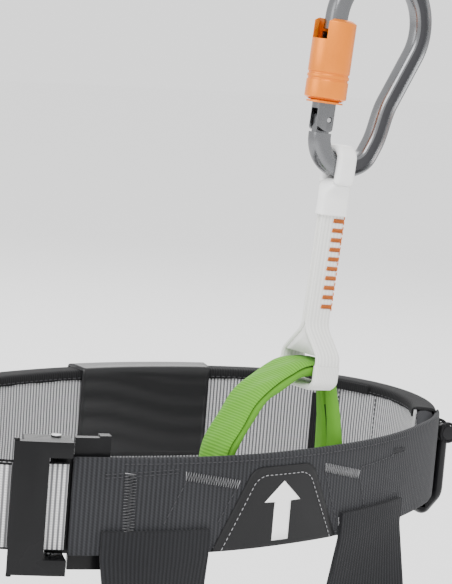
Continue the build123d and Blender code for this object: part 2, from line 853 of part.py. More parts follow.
def gate():
    """Round gate: forked foot, slot for the nose's key, blind bore for its spring."""
    place = carabiner_plane()
    with BuildPart() as bar:
        with BuildSketch(Plane(origin=place.from_local_coords(Vector(gate_across, gate_hinge_up - 8, 0)),
                               x_dir=lean_across, z_dir=lean_up)):
            Circle(gate_radius)
        extrude(amount=gate_top - gate_hinge_up + 8)
        with BuildSketch(place):
            with Locations((gate_across, gate_hinge_up)):
                Circle(gate_radius)
            with Locations((gate_across, (gate_hinge_up + gate_top) / 2)):
                Rectangle(2 * gate_radius + 2, gate_top - gate_hinge_up)
        extrude(amount=2 * gate_radius, both=True, mode=Mode.INTERSECT)
        with BuildSketch(place):
            with Locations((gate_across, gate_hinge_up - 1.5)):
                Rectangle(4 * gate_radius, 13.6)
        extrude(amount=tongue_half + tongue_fit, both=True, mode=Mode.SUBTRACT)
        with BuildSketch(place):
            with Locations((gate_across - 3.2, gate_top - 2.4)):
                Rectangle(gate_radius * 2, 7.0)
        extrude(amount=1.9, both=True, mode=Mode.SUBTRACT)
        with BuildSketch(place):
            with Locations((gate_across, gate_hinge_up)):
                Circle(pin_radius + pin_fit)
        extrude(amount=2 * gate_radius, both=True, mode=Mode.SUBTRACT)
        with BuildSketch(Plane(origin=place.from_local_coords(Vector(gate_across, spring_low, 0)),
                               x_dir=lean_across, z_dir=lean_up)):
            Circle(spring_bore)
        extrude(amount=spring_high - spring_low, mode=Mode.SUBTRACT)
    write(bar, "gate")


spring_low = gate_hinge_up + 5.0
spring_high = spring_low + 22.0
spring_bore = 2.3


def on_gate_axis(up):
    """Plane square to the gate's own axis, at a height above the carabiner's small end."""
    origin = carabiner_plane().from_local_coords(Vector(gate_across, up, 0))
    return Plane(origin=origin, x_dir=lean_across, z_dir=lean_up)


def tube_piece(name, inner, outer, low, high):
    with BuildPart() as tube:
        with BuildSketch(on_gate_axis(low)):
            Circle(outer)
            if inner > 0:
                Circle(inner, mode=Mode.SUBTRACT)
        extrude(amount=high - low)
    write(tube, name)


def coil_spring(name, inner, outer, low, high, turns):
    """Closed stack of turns: a tube whose wall is waved like a coil."""
    wire = (outer - inner) / 2
    middle = (outer + inner) / 2
    step = (high - low) / turns
    with BuildPart() as spring:
        for index in range(turns):
            with BuildSketch(on_gate_axis(low + index * step)):
                Circle(outer)
                Circle(inner, mode=Mode.SUBTRACT)
            extrude(amount=step * 0.5)
            with BuildSketch(on_gate_axis(low + (index + 0.5) * step)):
                Circle(middle + wire / 2)
                Circle(middle - wire / 2, mode=Mode.SUBTRACT)
            extrude(amount=step * 0.5)
    write(spring, name)


def gate_pin():
    place = carabiner_plane()
    with BuildPart() as pin:
        with BuildSketch(place):
            with Locations((gate_across, gate_hinge_up)):
                Circle(pin_radius)
        extrude(amount=gate_radius - 0.4, both=True)
    write(pin, "gate_pin")


carrier_inner = gate_radius + 0.3
carrier_outer = carrier_inner + 1.0
sleeve_inner = carrier_outer + 0.3
sleeve_low = 33.0
sleeve_high = 75.0
carrier_low = 31.8
carrier_high = 60.0
groove_ups = (43.4, 46.2)
mouth_low = 62.5
mouth_radius = 8.4
window_low = 64.2
window_half = bar_half + 0.9


def sleeve_carrier():
    """Thin collar that slides on the gate and holds the lock sleeve by its lower rim."""
    with BuildPart() as carrier:
        with BuildSketch(on_gate_axis(carrier_low)):
            Circle(carrier_outer)
            Circle(carrier_inner, mode=Mode.SUBTRACT)
        extrude(amount=carrier_high - carrier_low)
        with BuildSketch(on_gate_axis(carrier_low)):
            Circle(sleeve_radius - 1.4)
            Circle(carrier_inner, mode=Mode.SUBTRACT)
        extrude(amount=sleeve_low - carrier_low - 0.3)
    write(carrier, "sleeve_carrier")


def lock_sleeve():
    """Grip sleeve: ring grooves near its top, a wide mouth and a window for the nose."""
    with BuildPart() as sleeve:
        with BuildSketch(on_gate_axis(sleeve_low)):
            Circle(sleeve_radius)
        extrude(amount=sleeve_high - sleeve_low)
        chamfer(sleeve.edges().filter_by(GeomType.CIRCLE), length=1.6, length2=2.6)
        for up in groove_ups:
            with BuildSketch(on_gate_axis(up)):
                Circle(sleeve_radius + 1)
                Circle(sleeve_radius - 0.5, mode=Mode.SUBTRACT)
            extrude(amount=1.2, mode=Mode.SUBTRACT)
        with BuildSketch(on_gate_axis(sleeve_low - 1)):
            Circle(sleeve_inner)
        extrude(amount=sleeve_high - sleeve_low + 2, mode=Mode.SUBTRACT)
        with BuildSketch(on_gate_axis(mouth_low)):
            Circle(mouth_radius)
        extrude(amount=sleeve_high - mouth_low + 1, mode=Mode.SUBTRACT)
        with BuildSketch(carabiner_plane()):
            with Locations((gate_across - sleeve_radius, (window_low + sleeve_high + 4) / 2)):
                Rectangle(2 * sleeve_radius, sleeve_high + 4 - window_low)
        extrude(amount=window_half, both=True, mode=Mode.SUBTRACT)
    write(sleeve, "lock_sleeve")


carabiner_body()
gate()
gate_pin()
sleeve_carrier()
lock_sleeve()
coil_spring("gate_spring", 1.0, spring_bore - 0.2, spring_low + 5.0, spring_high - 0.3, 8)
tube_piece("gate_plunger", 0, spring_bore - 0.2, spring_low + 0.4, spring_low + 4.8)

# ---------------------------------------------------------------- lower saddle

leg_low = leg_middle - leg_height / 2
leg_top = leg_middle + leg_height / 2
leg_outer = leg_radius + leg_pad_thickness
leg_web_inner = leg_outer + shell_thickness + binding_wall + 2 * layer_gap
leg_web_half = 22.0
riser_width = 44.0
riser_wall = 2.4
riser_x = 70.0
riser_out = panel_face + 0.4
riser_pivot = -66.0
elastic_width = 25.0
elastic_wall = 2.0
elastic_x = 96.0


def leg_ring(name, side, inner, outer, low, high):
    """Upright ring round the thigh."""
    with BuildPart() as ring:
        with BuildSketch(Plane.XY.offset(low)):
            with Locations((side * leg_centre_x, leg_centre_y)):
                Circle(outer)
                Circle(inner, mode=Mode.SUBTRACT)
        extrude(amount=high - low)
    write(ring, name)


def leg_binding(name, side):
    """Tapes over the top and bottom edges of the leg pad."""
    cover = leg_outer + shell_thickness
    with BuildPart() as tape:
        for edge_height, toward in ((leg_top, 1), (leg_low, -1)):
            far = edge_height + toward * (binding_wall + layer_gap)
            near = edge_height - toward * binding_lap
            with BuildSketch(Plane.XY.offset(min(far, near))):
                with Locations((side * leg_centre_x, leg_centre_y)):
                    Circle(cover + binding_wall + layer_gap)
                    Circle(leg_radius - lining_thickness - binding_wall - layer_gap, mode=Mode.SUBTRACT)
            extrude(amount=abs(far - near))
            clear = edge_height + toward * layer_gap
            low = min(clear, near - toward)
            with BuildSketch(Plane.XY.offset(low)):
                with Locations((side * leg_centre_x, leg_centre_y)):
                    Circle(cover + layer_gap)
                    Circle(leg_radius - lining_thickness - layer_gap, mode=Mode.SUBTRACT)
            extrude(amount=abs(clear - near + toward), mode=Mode.SUBTRACT)
    write(tape, name)


def leg_front_y(x):
    """Front face of the leg webbing at an X, measured from the leg's own centre."""
    reach = leg_outer + shell_thickness + binding_wall + 2 * layer_gap + web_thickness
    return leg_centre_y - sqrt(reach ** 2 - (x - leg_centre_x) ** 2)


def leg_riser(name, side):
    """Front riser: webbing from the front panel's lower edge down to the leg loop."""
    panel_y = oval_point(angle_at(riser_x), riser_out)[1]
    low_y = leg_front_y(riser_x + riser_width / 2) - 1.0
    foot = leg_middle - leg_web_half
    with BuildPart() as riser:
        with BuildSketch(Plane.YZ.offset(side * riser_x)):
            with BuildLine() as edge:
                Polyline(
                    (panel_y, riser_pivot), (panel_y, riser_pivot - 12), (low_y, leg_top + 12),
                    (low_y, foot), (low_y - riser_wall, foot), (low_y - riser_wall, leg_top + 12),
                    (panel_y - riser_wall, riser_pivot - 12), (panel_y - riser_wall, riser_pivot),
                    (panel_y, riser_pivot),
                )
            make_face(edge.edges())
            with Locations((panel_y - riser_wall / 2, riser_pivot)):
                Circle(riser_eye)
        extrude(amount=riser_width / 2, both=True)
        pivot = (side * riser_x, panel_y - riser_wall / 2, riser_pivot)
        with Locations(Plane(origin=pivot, z_dir=(1, 0, 0))):
            Cylinder(radius=riser_rod + pin_fit, height=2 * riser_width, mode=Mode.SUBTRACT)
    write(riser, name)
    return panel_y - riser_wall / 2


riser_eye = 3.4
riser_rod = 1.8


def riser_hanger(name, side, y):
    """Short webbing sewn to the front panel, flattened below it into two folds round a rod."""
    fold = 5.0
    span = riser_width + 2 * fold + 2.0
    middle = angle_at(side * riser_x)
    half = degrees(span / 2 / broad_radius)
    flat = riser_pivot + riser_eye + 2.0
    seam = -front_half_height - 1.0
    with BuildPart() as hanger:
        with BuildSketch(Plane.XY.offset(seam)):
            ring_outline(panel_face + layer_gap, panel_face + riser_wall, middle - half, middle + half)
        extrude(amount=14)
        with BuildSketch(Plane.XY.offset(seam)):
            ring_outline(panel_face + layer_gap, panel_face + riser_wall, middle - half, middle + half)
        with BuildSketch(Plane.XY.offset(flat)):
            with Locations((side * riser_x, y)):
                Rectangle(span, riser_wall)
        loft()
        for end in (-1, 1):
            x = side * riser_x + end * (span - fold) / 2
            with Locations((x, y, (flat + riser_pivot) / 2)):
                Box(fold, riser_wall, flat - riser_pivot + 1)
            with Locations(Plane(origin=(x, y, riser_pivot), z_dir=(1, 0, 0))):
                Cylinder(radius=riser_eye, height=fold)
        with Locations(Plane(origin=(side * riser_x, y, riser_pivot), z_dir=(1, 0, 0))):
            Cylinder(radius=riser_rod, height=span)
    write(hanger, name)


def leg_buckle(name, side):
    """Slide buckle on the outside of the leg webbing: frame with two slots."""
    out = leg_outer + shell_thickness + binding_wall + 2 * layer_gap + web_thickness + 0.3
    x = side * (leg_centre_x + out + 1.5)
    with BuildPart() as buckle:
        with BuildSketch(Plane(origin=(x, leg_centre_y, leg_middle), x_dir=(0, 1, 0), z_dir=(side, 0, 0))):
            RectangleRounded(34, 2 * leg_web_half + 10, 4)
            with Locations((-8, 0), (8, 0)):
                Rectangle(7, 2 * leg_web_half + 1, mode=Mode.SUBTRACT)
        extrude(amount=3.0)
    write(buckle, name)


def leg_elastic(name, side):
    """Rear elastic from the belt's lower edge to the back of the leg loop."""
    belt_y = oval_point(angle_at(elastic_x, front=False), shell_outer)[1]
    top = -pad_drop_back - binding_wall - 2 * layer_gap
    low_y = leg_centre_y + leg_web_inner + web_thickness + 0.3
    with BuildPart() as strap:
        with BuildSketch(Plane.YZ.offset(side * elastic_x)):
            with BuildLine() as edge:
                Polyline(
                    (belt_y, top), (low_y, leg_top + 14), (low_y, leg_middle + 4),
                    (low_y + elastic_wall, leg_middle + 4), (low_y + elastic_wall, leg_top + 14),
                    (belt_y + elastic_wall, top), (belt_y, top),
                )
            make_face(edge.edges())
        extrude(amount=elastic_width / 2, both=True)
    write(strap, name)


for name, side in (("left", 1), ("right", -1)):
    leg_ring(f"leg_lining_{name}", side, leg_radius - lining_thickness, leg_radius - layer_gap,
             leg_low, leg_top)
    leg_ring(f"leg_pad_{name}", side, leg_radius, leg_outer - layer_gap,
             leg_low, leg_top)
    leg_ring(f"leg_cover_{name}", side, leg_outer, leg_outer + shell_thickness,
             leg_low, leg_top)
    leg_binding(f"leg_binding_{name}", side)
    leg_ring(f"leg_webbing_{name}", side, leg_web_inner, leg_web_inner + web_thickness,
             leg_middle - leg_web_half, leg_middle + leg_web_half)
    hanger_y = leg_riser(f"leg_riser_{name}", side)
    riser_hanger(f"riser_hanger_{name}", side, hanger_y)
    leg_buckle(f"leg_buckle_{name}", side)
    leg_elastic(f"leg_elastic_{name}", side)

print("pieces", write_count)
print("loop fold axis", (0, round(loop_y, 3), loop_pivot_height))
print("sling origin", [round(v, 3) for v in sling_origin])
print("bar centre", hang_plane(bar_centre_up).origin)
print("gate pin", carabiner_plane().from_local_coords(Vector(gate_across, gate_hinge_up, 0)))
print("riser axis", hanger_y, riser_pivot)
print("buckle pin", buckle_pin_place(0).position)
print("gear axes", gear_axis(1), gear_axis(-1))
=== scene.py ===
# Tree climbing saddle: padded waist belt with a green attachment loop, a sewn sling, an auto-lock
# carabiner and two leg loops. Everything is in metres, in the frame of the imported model.
import math

import bmesh
import bpy
from mathutils import Matrix, Vector


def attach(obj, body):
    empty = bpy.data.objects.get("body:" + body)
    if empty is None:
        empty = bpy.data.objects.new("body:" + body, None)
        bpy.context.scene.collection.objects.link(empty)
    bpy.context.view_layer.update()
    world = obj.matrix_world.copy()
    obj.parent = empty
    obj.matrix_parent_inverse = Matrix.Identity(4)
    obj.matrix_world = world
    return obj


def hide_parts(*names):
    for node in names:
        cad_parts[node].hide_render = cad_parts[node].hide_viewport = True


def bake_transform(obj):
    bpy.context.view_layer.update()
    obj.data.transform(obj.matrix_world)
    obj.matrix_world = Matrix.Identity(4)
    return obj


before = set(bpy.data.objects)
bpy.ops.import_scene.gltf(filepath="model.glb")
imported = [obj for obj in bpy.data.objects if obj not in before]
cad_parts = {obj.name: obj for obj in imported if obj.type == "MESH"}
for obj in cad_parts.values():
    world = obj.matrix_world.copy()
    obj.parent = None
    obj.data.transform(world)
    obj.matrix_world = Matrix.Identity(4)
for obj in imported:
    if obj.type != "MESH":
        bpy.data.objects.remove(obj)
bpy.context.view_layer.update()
print("frame loaded")

# plan of the belt: a four-arc oval through the outer face of the padding

belt = {
    "halfWidth": 0.175,
    "halfDepth": 0.105,
    "sideRadius": 0.080,
    "padStart": -44.0,
    "padEnd": 224.0,
    "padTop": 0.0255,
    "dropSide": 0.036,
    "dropBack": 0.046,
    "frontHalf": 0.025,
}
sideCentre = belt["halfWidth"] - belt["sideRadius"]
broadRadius = ((sideCentre ** 2 + belt["halfDepth"] ** 2 - belt["sideRadius"] ** 2)
               / (2 * (belt["halfDepth"] - belt["sideRadius"])))
broadCentre = broadRadius - belt["halfDepth"]
cornerAngle = math.degrees(math.atan2(broadCentre, sideCentre))
panelFace = 0.00475      # outer face of the front webbing, outwards from the padding
panelBack = 0.00135


def arcAt(angle):
    turn = (angle + 180.0) % 360.0 - 180.0
    if abs(turn) <= cornerAngle:
        return sideCentre, 0.0, belt["sideRadius"]
    if abs(turn) >= 180.0 - cornerAngle:
        return -sideCentre, 0.0, belt["sideRadius"]
    return 0.0, (-broadCentre if turn > 0 else broadCentre), broadRadius


def ovalPoint(angle, outward, height=0.0):
    x, y, radius = arcAt(angle)
    a = math.radians(angle)
    return Vector((x + (radius + outward) * math.cos(a), y + (radius + outward) * math.sin(a), height))


def evenly(items, lengths, count):
    # items at even steps of the running length, with that length
    found = []
    index = 0
    for i in range(count + 1):
        wanted = lengths[-1] * i / count
        while index < len(items) - 2 and lengths[index + 1] < wanted:
            index += 1
        span = max(lengths[index + 1] - lengths[index], 1e-9)
        share = min(1.0, max(0.0, (wanted - lengths[index]) / span))
        found.append((items[index] + (items[index + 1] - items[index]) * share, wanted))
    return found


def ringAngles(start, end, step):
    fine = 0.25
    count = max(2, int((end - start) / fine))
    angles = [start + (end - start) * i / count for i in range(count + 1)]
    lengths = [0.0]
    for a, b in zip(angles, angles[1:]):
        radius = arcAt((a + b) / 2)[2]
        lengths.append(lengths[-1] + radius * math.radians(b - a))
    return evenly(angles, lengths, max(2, int(round(lengths[-1] / step))))


def angleAtX(x, front=True):
    lean = math.degrees(math.asin(x / broadRadius))
    return 270.0 + lean if front else 90.0 - lean


def padDrop(y):
    bend = belt["halfDepth"] * 0.7
    front = belt["dropSide"] - 0.008
    if y >= bend:
        return belt["dropBack"]
    if y >= 0:
        return belt["dropSide"] + (belt["dropBack"] - belt["dropSide"]) * y / bend
    return belt["dropSide"] + (front - belt["dropSide"]) * min(1.0, -y / (belt["halfDepth"] + 0.03))


# shader maths: a wrapped socket with operators, and one method for every other node

class Value:
    def __init__(self, shade, socket):
        self.shade = shade
        self.socket = socket

    def maths(self, operation, other=None, swapped=False):
        node = self.shade.tree.nodes.new("ShaderNodeMath")
        node.operation = operation
        order = [self, other] if not swapped else [other, self]
        for slot, item in enumerate(order):
            if item is None:
                continue
            if isinstance(item, Value):
                self.shade.tree.links.new(item.socket, node.inputs[slot])
            else:
                node.inputs[slot].default_value = item
        return Value(self.shade, node.outputs[0])

    def __add__(self, other):
        return self.maths("ADD", other)

    def __radd__(self, other):
        return self.maths("ADD", other, True)

    def __sub__(self, other):
        return self.maths("SUBTRACT", other)

    def __rsub__(self, other):
        return self.maths("SUBTRACT", other, True)

    def __mul__(self, other):
        return self.maths("MULTIPLY", other)

    def __truediv__(self, other):
        return self.maths("DIVIDE", other)

    def sine(self):
        return self.maths("SINE")

    def fraction(self):
        return self.maths("FRACT")

    def smaller(self, other):
        return self.maths("MINIMUM", other)

    def larger(self, other):
        return self.maths("MAXIMUM", other)


class Shade:
    def __init__(self, name):
        self.material = bpy.data.materials.new(name)
        self.material.use_nodes = True
        self.tree = self.material.node_tree
        self.surface = self.tree.nodes["Principled BSDF"]

    def node(self, kind, settings=None, inputs=None, out=0):
        made = self.tree.nodes.new(kind)
        for key, value in (settings or {}).items():
            if key == "stops":
                ramp = made.color_ramp
                while len(ramp.elements) < len(value):
                    ramp.elements.new(0.5)
                for element, (place, colour) in zip(ramp.elements, value):
                    element.position = place
                    element.color = (*colour, 1.0)
            else:
                setattr(made, key, value)
        for key, value in (inputs or {}).items():
            self.feed(made.inputs[key], value)
        return Value(self, made.outputs[out])

    def feed(self, socket, value):
        if isinstance(value, Value):
            self.tree.links.new(value.socket, socket)
        elif isinstance(value, (tuple, list)) and len(value) == 3 and socket.type == "RGBA":
            socket.default_value = (*value, 1.0)
        else:
            socket.default_value = value

    def paint(self, **values):
        for key, value in values.items():
            self.feed(self.surface.inputs[key.replace("_", " ")], value)
        return self

    def weave(self):
        split = self.tree.nodes.new("ShaderNodeSeparateXYZ")
        source = self.tree.nodes.new("ShaderNodeUVMap")
        source.uv_map = "weave"
        self.tree.links.new(source.outputs[0], split.inputs[0])
        return Value(self, split.outputs[0]), Value(self, split.outputs[1]), Value(self, source.outputs[0])

    def place(self):
        return self.node("ShaderNodeTexCoord", out=3)

    def noise(self, vector, scale, detail=2.0, rough=0.5):
        return self.node("ShaderNodeTexNoise", {"noise_dimensions": "3D"},
                         {"Vector": vector, "Scale": scale, "Detail": detail, "Roughness": rough})

    def blend(self, factor, first, second):
        return self.node("ShaderNodeMix", {"data_type": "RGBA"}, {0: factor, 6: first, 7: second}, out=2)

    def bump(self, height, strength, distance, under=None):
        inputs = {"Height": height, "Strength": strength, "Distance": distance}
        if under is not None:
            inputs["Normal"] = under
        return self.node("ShaderNodeBump", {}, inputs)


def wave(value, pitch):
    return (value * (2 * math.pi / pitch)).sine() * 0.5 + 0.5


def ribbedCloth(name, colour, deep, pitch, rough=0.85, across=False, depth=0.0004, sheen=0.15):
    shade = Shade(name)
    along, up, uv = shade.weave()
    main, other = (up, along) if across else (along, up)
    ribs = wave(main, pitch)
    yarn = wave(other + (main * (1.0 / pitch)).fraction() * pitch * 0.5, pitch * 0.62)
    fade = shade.noise(shade.place(), 22.0, 3.0)
    fuzz = shade.noise(uv, 2600.0, 1.0)
    tone = ribs * 0.55 + yarn * 0.2 + fade * 0.35 + fuzz * 0.2 - 0.1
    height = ribs * 0.7 + yarn * 0.3 * ribs
    shade.paint(Base_Color=shade.blend(tone, deep, colour), Roughness=rough - fade * 0.12,
                Sheen_Weight=sheen, Sheen_Roughness=0.6, Specular_IOR_Level=0.16,
                Normal=shade.bump(height, 0.55, depth))
    return shade.material


def stripedMesh(name, light, dark, pitch, shadow):
    shade = Shade(name)
    along, up, uv = shade.weave()
    band = wave(along, pitch)
    loops = wave(up + (along / pitch).fraction() * 0.0004, pitch * 0.55)
    fuzz = shade.noise(uv, 1500.0, 2.0)
    soft = shade.noise(shade.place(), 14.0, 2.0)
    face = (band - 0.30) * 3.2
    face = face.larger(0.0).smaller(1.0)
    face = face * (0.62 + loops * 0.38)
    colour = shade.blend(face, dark, light)
    colour = shade.blend(soft * 0.35 + fuzz * 0.2, colour, shadow)
    shade.paint(Base_Color=colour, Roughness=0.9, Sheen_Weight=0.25, Sheen_Roughness=0.5,
                Normal=shade.bump(band * 0.7 + loops * 0.3 * band, 0.6, 0.0005))
    return shade.material


def plainCloth(name, colour, deep, pitch=0.0009, rough=0.85, coat=0.0, depth=0.00015):
    shade = Shade(name)
    along, up, uv = shade.weave()
    warp = wave(along, pitch)
    weft = wave(up, pitch)
    cross = warp * weft + (1 - warp) * (1 - weft)
    soft = shade.noise(shade.place(), 18.0, 3.0)
    shade.paint(Base_Color=shade.blend(cross * 0.4 + soft * 0.6, deep, colour),
                Roughness=rough - soft * 0.1, Coat_Weight=coat, Coat_Roughness=0.28, Specular_IOR_Level=0.22,
                Normal=shade.bump(cross, 0.35, depth, shade.bump(soft, 0.25, 0.002)))
    return shade.material


def moulded(name, colour, rough, grain=0.25, scale=900.0, coat=0.0, metal=0.0, gloss=0.35):
    shade = Shade(name)
    where = shade.place()
    fine = shade.noise(where, scale, 2.0)
    broad = shade.noise(where, 35.0, 3.0)
    light = tuple(min(1.0, c * 1.35 + 0.004) for c in colour)
    shade.paint(Base_Color=shade.blend(broad * 0.7, colour, light), Roughness=rough + broad * 0.14 - 0.07,
                Metallic=metal, Coat_Weight=coat, Coat_Roughness=0.2, Specular_IOR_Level=gloss,
                Normal=shade.bump(fine, grain, 0.0001))
    return shade.material


def forgedAlloy(name, colour, rough, metal=1.0):
    shade = Shade(name)
    where = shade.place()
    fine = shade.noise(where, 1400.0, 3.0)
    broad = shade.noise(where, 60.0, 4.0)
    deep = tuple(c * 0.72 for c in colour)
    shade.paint(Base_Color=shade.blend(broad * 0.8 + fine * 0.2, deep, colour),
                Roughness=rough + fine * 0.12 + broad * 0.08 - 0.1, Metallic=metal,
                Normal=shade.bump(fine, 0.18, 0.00008))
    return shade.material


def threadLook(name, colour):
    shade = Shade(name)
    where = shade.place()
    fine = shade.noise(where, 2400.0, 2.0)
    deep = tuple(c * 0.45 for c in colour)
    shade.paint(Base_Color=shade.blend(fine * 1.2, deep, colour), Roughness=0.7, Sheen_Weight=0.1,
                Specular_IOR_Level=0.2, Normal=shade.bump(fine, 0.4, 0.0002))
    return shade.material


look = {
    "panelWebbing": ribbedCloth("panelWebbing", (0.036, 0.037, 0.041), (0.006, 0.006, 0.007), 0.00235,
                                depth=0.0007, sheen=0.04),
    "darkWebbing": ribbedCloth("darkWebbing", (0.018, 0.0185, 0.021), (0.004, 0.004, 0.0045), 0.0021,
                               sheen=0.03),
    "blackTape": ribbedCloth("blackTape", (0.013, 0.013, 0.014), (0.002, 0.002, 0.0025), 0.0017, sheen=0.02),
    "stripedStrap": stripedMesh("stripedStrap", (0.80, 0.80, 0.80), (0.03, 0.03, 0.033), 0.0024,
                                (0.42, 0.42, 0.43)),
    "lining": stripedMesh("lining", (0.60, 0.60, 0.61), (0.022, 0.022, 0.025), 0.0022, (0.30, 0.30, 0.31)),
    "coverCloth": plainCloth("coverCloth", (0.055, 0.056, 0.060), (0.022, 0.022, 0.025), 0.0011),
    "coatedCloth": plainCloth("coatedCloth", (0.010, 0.010, 0.011), (0.003, 0.003, 0.0033), 0.0008, 0.42,
                              0.30, 0.00008),
    "patchCloth": plainCloth("patchCloth", (0.012, 0.012, 0.013), (0.006, 0.006, 0.0065), 0.0010, 0.6, 0.03),
    "markPrint": moulded("markPrint", (0.86, 0.86, 0.85), 0.5, 0.3),
    "greenCloth": ribbedCloth("greenCloth", (0.135, 0.37, 0.030), (0.050, 0.185, 0.010), 0.00145, 0.8,
                              depth=0.0003, sheen=0.04),
    "greenPlain": plainCloth("greenPlain", (0.125, 0.34, 0.028), (0.060, 0.20, 0.012), 0.0007),
    # painted shade: a dark green for the faces in the loop's seam crease and edge notch
    "greenSeamShade": plainCloth("greenSeamShade", (0.020, 0.070, 0.008), (0.012, 0.045, 0.005), 0.0007),
    "whiteWebbing": ribbedCloth("whiteWebbing", (0.84, 0.84, 0.81), (0.60, 0.60, 0.57), 0.0011, 0.8,
                                across=True, depth=0.0002, sheen=0.2),
    "whiteRubber": moulded("whiteRubber", (0.78, 0.78, 0.76), 0.42, 0.2),
    "orangeThread": threadLook("orangeThread", (0.78, 0.20, 0.03)),
    "darkThread": threadLook("darkThread", (0.050, 0.050, 0.055)),
    "greyThread": threadLook("greyThread", (0.34, 0.34, 0.35)),
    "forgedAlloy": forgedAlloy("forgedAlloy", (0.20, 0.203, 0.21), 0.27),
    # painted shade: a darker alloy for the faces deep in the carabiner's groove
    "grooveShadeAlloy": forgedAlloy("grooveShadeAlloy", (0.075, 0.075, 0.08), 0.34),
    "gateAlloy": forgedAlloy("gateAlloy", (0.17, 0.172, 0.178), 0.27),
    "orangeAlloy": forgedAlloy("orangeAlloy", (0.98, 0.255, 0.006), 0.33, 0.6),
    "blackPlastic": moulded("blackPlastic", (0.007, 0.007, 0.008), 0.34, 0.2, gloss=0.2),
    "blackMetal": moulded("blackMetal", (0.005, 0.005, 0.0055), 0.26, 0.12, 700.0, 0.03, 0.0, 0.14),
    "steel": forgedAlloy("steel", (0.55, 0.55, 0.56), 0.30),
}
print("finishes ready")


# mesh helpers

def bent(value, power):
    # power of a size that keeps its sign, for rounded squares
    return math.copysign(abs(value) ** power, value)


def smoothed(mesh):
    mesh.polygons.foreach_set("use_smooth", [True] * len(mesh.polygons))


def linked(name, mesh):
    piece = bpy.data.objects.new(name, mesh)
    bpy.context.scene.collection.objects.link(piece)
    return piece


def finishMesh(name, points, faces, material, uvs):
    mesh = bpy.data.meshes.new(name)
    mesh.from_pydata([tuple(p) for p in points], [], faces)
    layer = mesh.uv_layers.new(name="weave")
    layer.data.foreach_set("uv", [part for face in uvs for corner in face for part in corner])
    mesh.materials.append(look[material])
    smoothed(mesh)
    mesh.update()
    return linked(name, mesh)


def outwardNormals(piece):
    shape = bmesh.new()
    shape.from_mesh(piece.data)
    bmesh.ops.remove_doubles(shape, verts=shape.verts, dist=1e-6)
    bmesh.ops.recalc_face_normals(shape, faces=shape.faces)
    shape.to_mesh(piece.data)
    shape.free()
    piece.data.update()
    return piece


def roundedStrip(outer, inner, high, low, rim):
    middle = (outer + inner) / 2
    half = (outer - inner) / 2
    section = []
    steps = 4
    flat = 6
    for i in range(flat + 1):
        section.append((outer, low + rim + (high - low - 2 * rim) * i / flat))
    for i in range(1, steps):
        a = math.pi * i / steps
        section.append((middle + half * math.cos(a), high - rim + rim * math.sin(a)))
    for i in range(flat + 1):
        section.append((inner, high - rim - (high - low - 2 * rim) * i / flat))
    for i in range(1, steps):
        a = math.pi + math.pi * i / steps
        section.append((middle + half * math.cos(a), low + rim + rim * math.sin(a)))
    return section


def sweepSections(name, sections, lengths, material, closed=False):
    ring = len(sections[0])
    points = [p for section in sections for p in section]
    walk = []
    total = 0.0
    middle = sections[len(sections) // 2]
    for i in range(ring + 1):
        walk.append(total)
        total += (Vector(middle[(i + 1) % ring]) - Vector(middle[i % ring])).length
    faces = []
    uvs = []
    count = len(sections)
    last = count if closed else count - 1
    for s in range(last):
        t = (s + 1) % count
        a = lengths[s]
        b = lengths[s + 1] if s + 1 < len(lengths) else lengths[-1] + lengths[1]
        for i in range(ring):
            j = (i + 1) % ring
            faces.append((s * ring + i, t * ring + i, t * ring + j, s * ring + j))
            uvs.append(((a, walk[i]), (b, walk[i]), (b, walk[i + 1]), (a, walk[i + 1])))
    if not closed:
        for s, flip in ((0, False), (count - 1, True)):
            order = list(range(ring))[::-1 if flip else 1]
            faces.append(tuple(s * ring + i for i in order))
            uvs.append(tuple((lengths[s] + 0.0005 * (i % 2), walk[i]) for i in order))
    return outwardNormals(finishMesh(name, points, faces, material, uvs))


def ringSweep(name, start, end, step, sectionAt, material):
    sections = []
    lengths = []
    for angle, run in ringAngles(start, end, step):
        sections.append([ovalPoint(angle, d, z) for d, z in sectionAt(angle, run)])
        lengths.append(run)
    return sweepSections(name, sections, lengths, material)


def pathSweep(name, frames, section, material):
    sections = []
    lengths = [0.0]
    for i, (point, across, out) in enumerate(frames):
        share = i / (len(frames) - 1)
        sections.append([point + across * a + out * b for a, b in section(share)])
        if i:
            lengths.append(lengths[-1] + (point - frames[i - 1][0]).length)
    return sweepSections(name, sections, lengths, material)


def stripSection(half, thick, rim=None, crown=0.0, steps=8):
    rim = thick / 2 if rim is None else rim
    walk = []
    for i in range(steps + 1):
        a = half - rim - 2 * (half - rim) * i / steps
        walk.append((a, thick / 2 + crown * (1 - (a / half) ** 2)))
    for i in range(1, 4):
        a = math.pi / 2 + math.pi * i / 4
        walk.append((-(half - rim) + rim * math.cos(a), thick / 2 * math.sin(a)))
    for i in range(steps + 1):
        a = -(half - rim) + 2 * (half - rim) * i / steps
        walk.append((a, -thick / 2 - crown * (1 - (a / half) ** 2)))
    for i in range(1, 4):
        a = -math.pi / 2 + math.pi * i / 4
        walk.append((half - rim + rim * math.cos(a), thick / 2 * math.sin(a)))
    return walk


def framesAlong(points, across):
    frames = []
    for i, point in enumerate(points):
        tangent = (points[min(i + 1, len(points) - 1)] - points[max(i - 1, 0)]).normalized()
        side = (across - tangent * across.dot(tangent)).normalized()
        frames.append((point, side, side.cross(tangent).normalized()))
    return frames


def belongs(piece, body, slotName, *nodes):
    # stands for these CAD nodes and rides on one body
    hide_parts(*nodes)
    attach(piece, body)


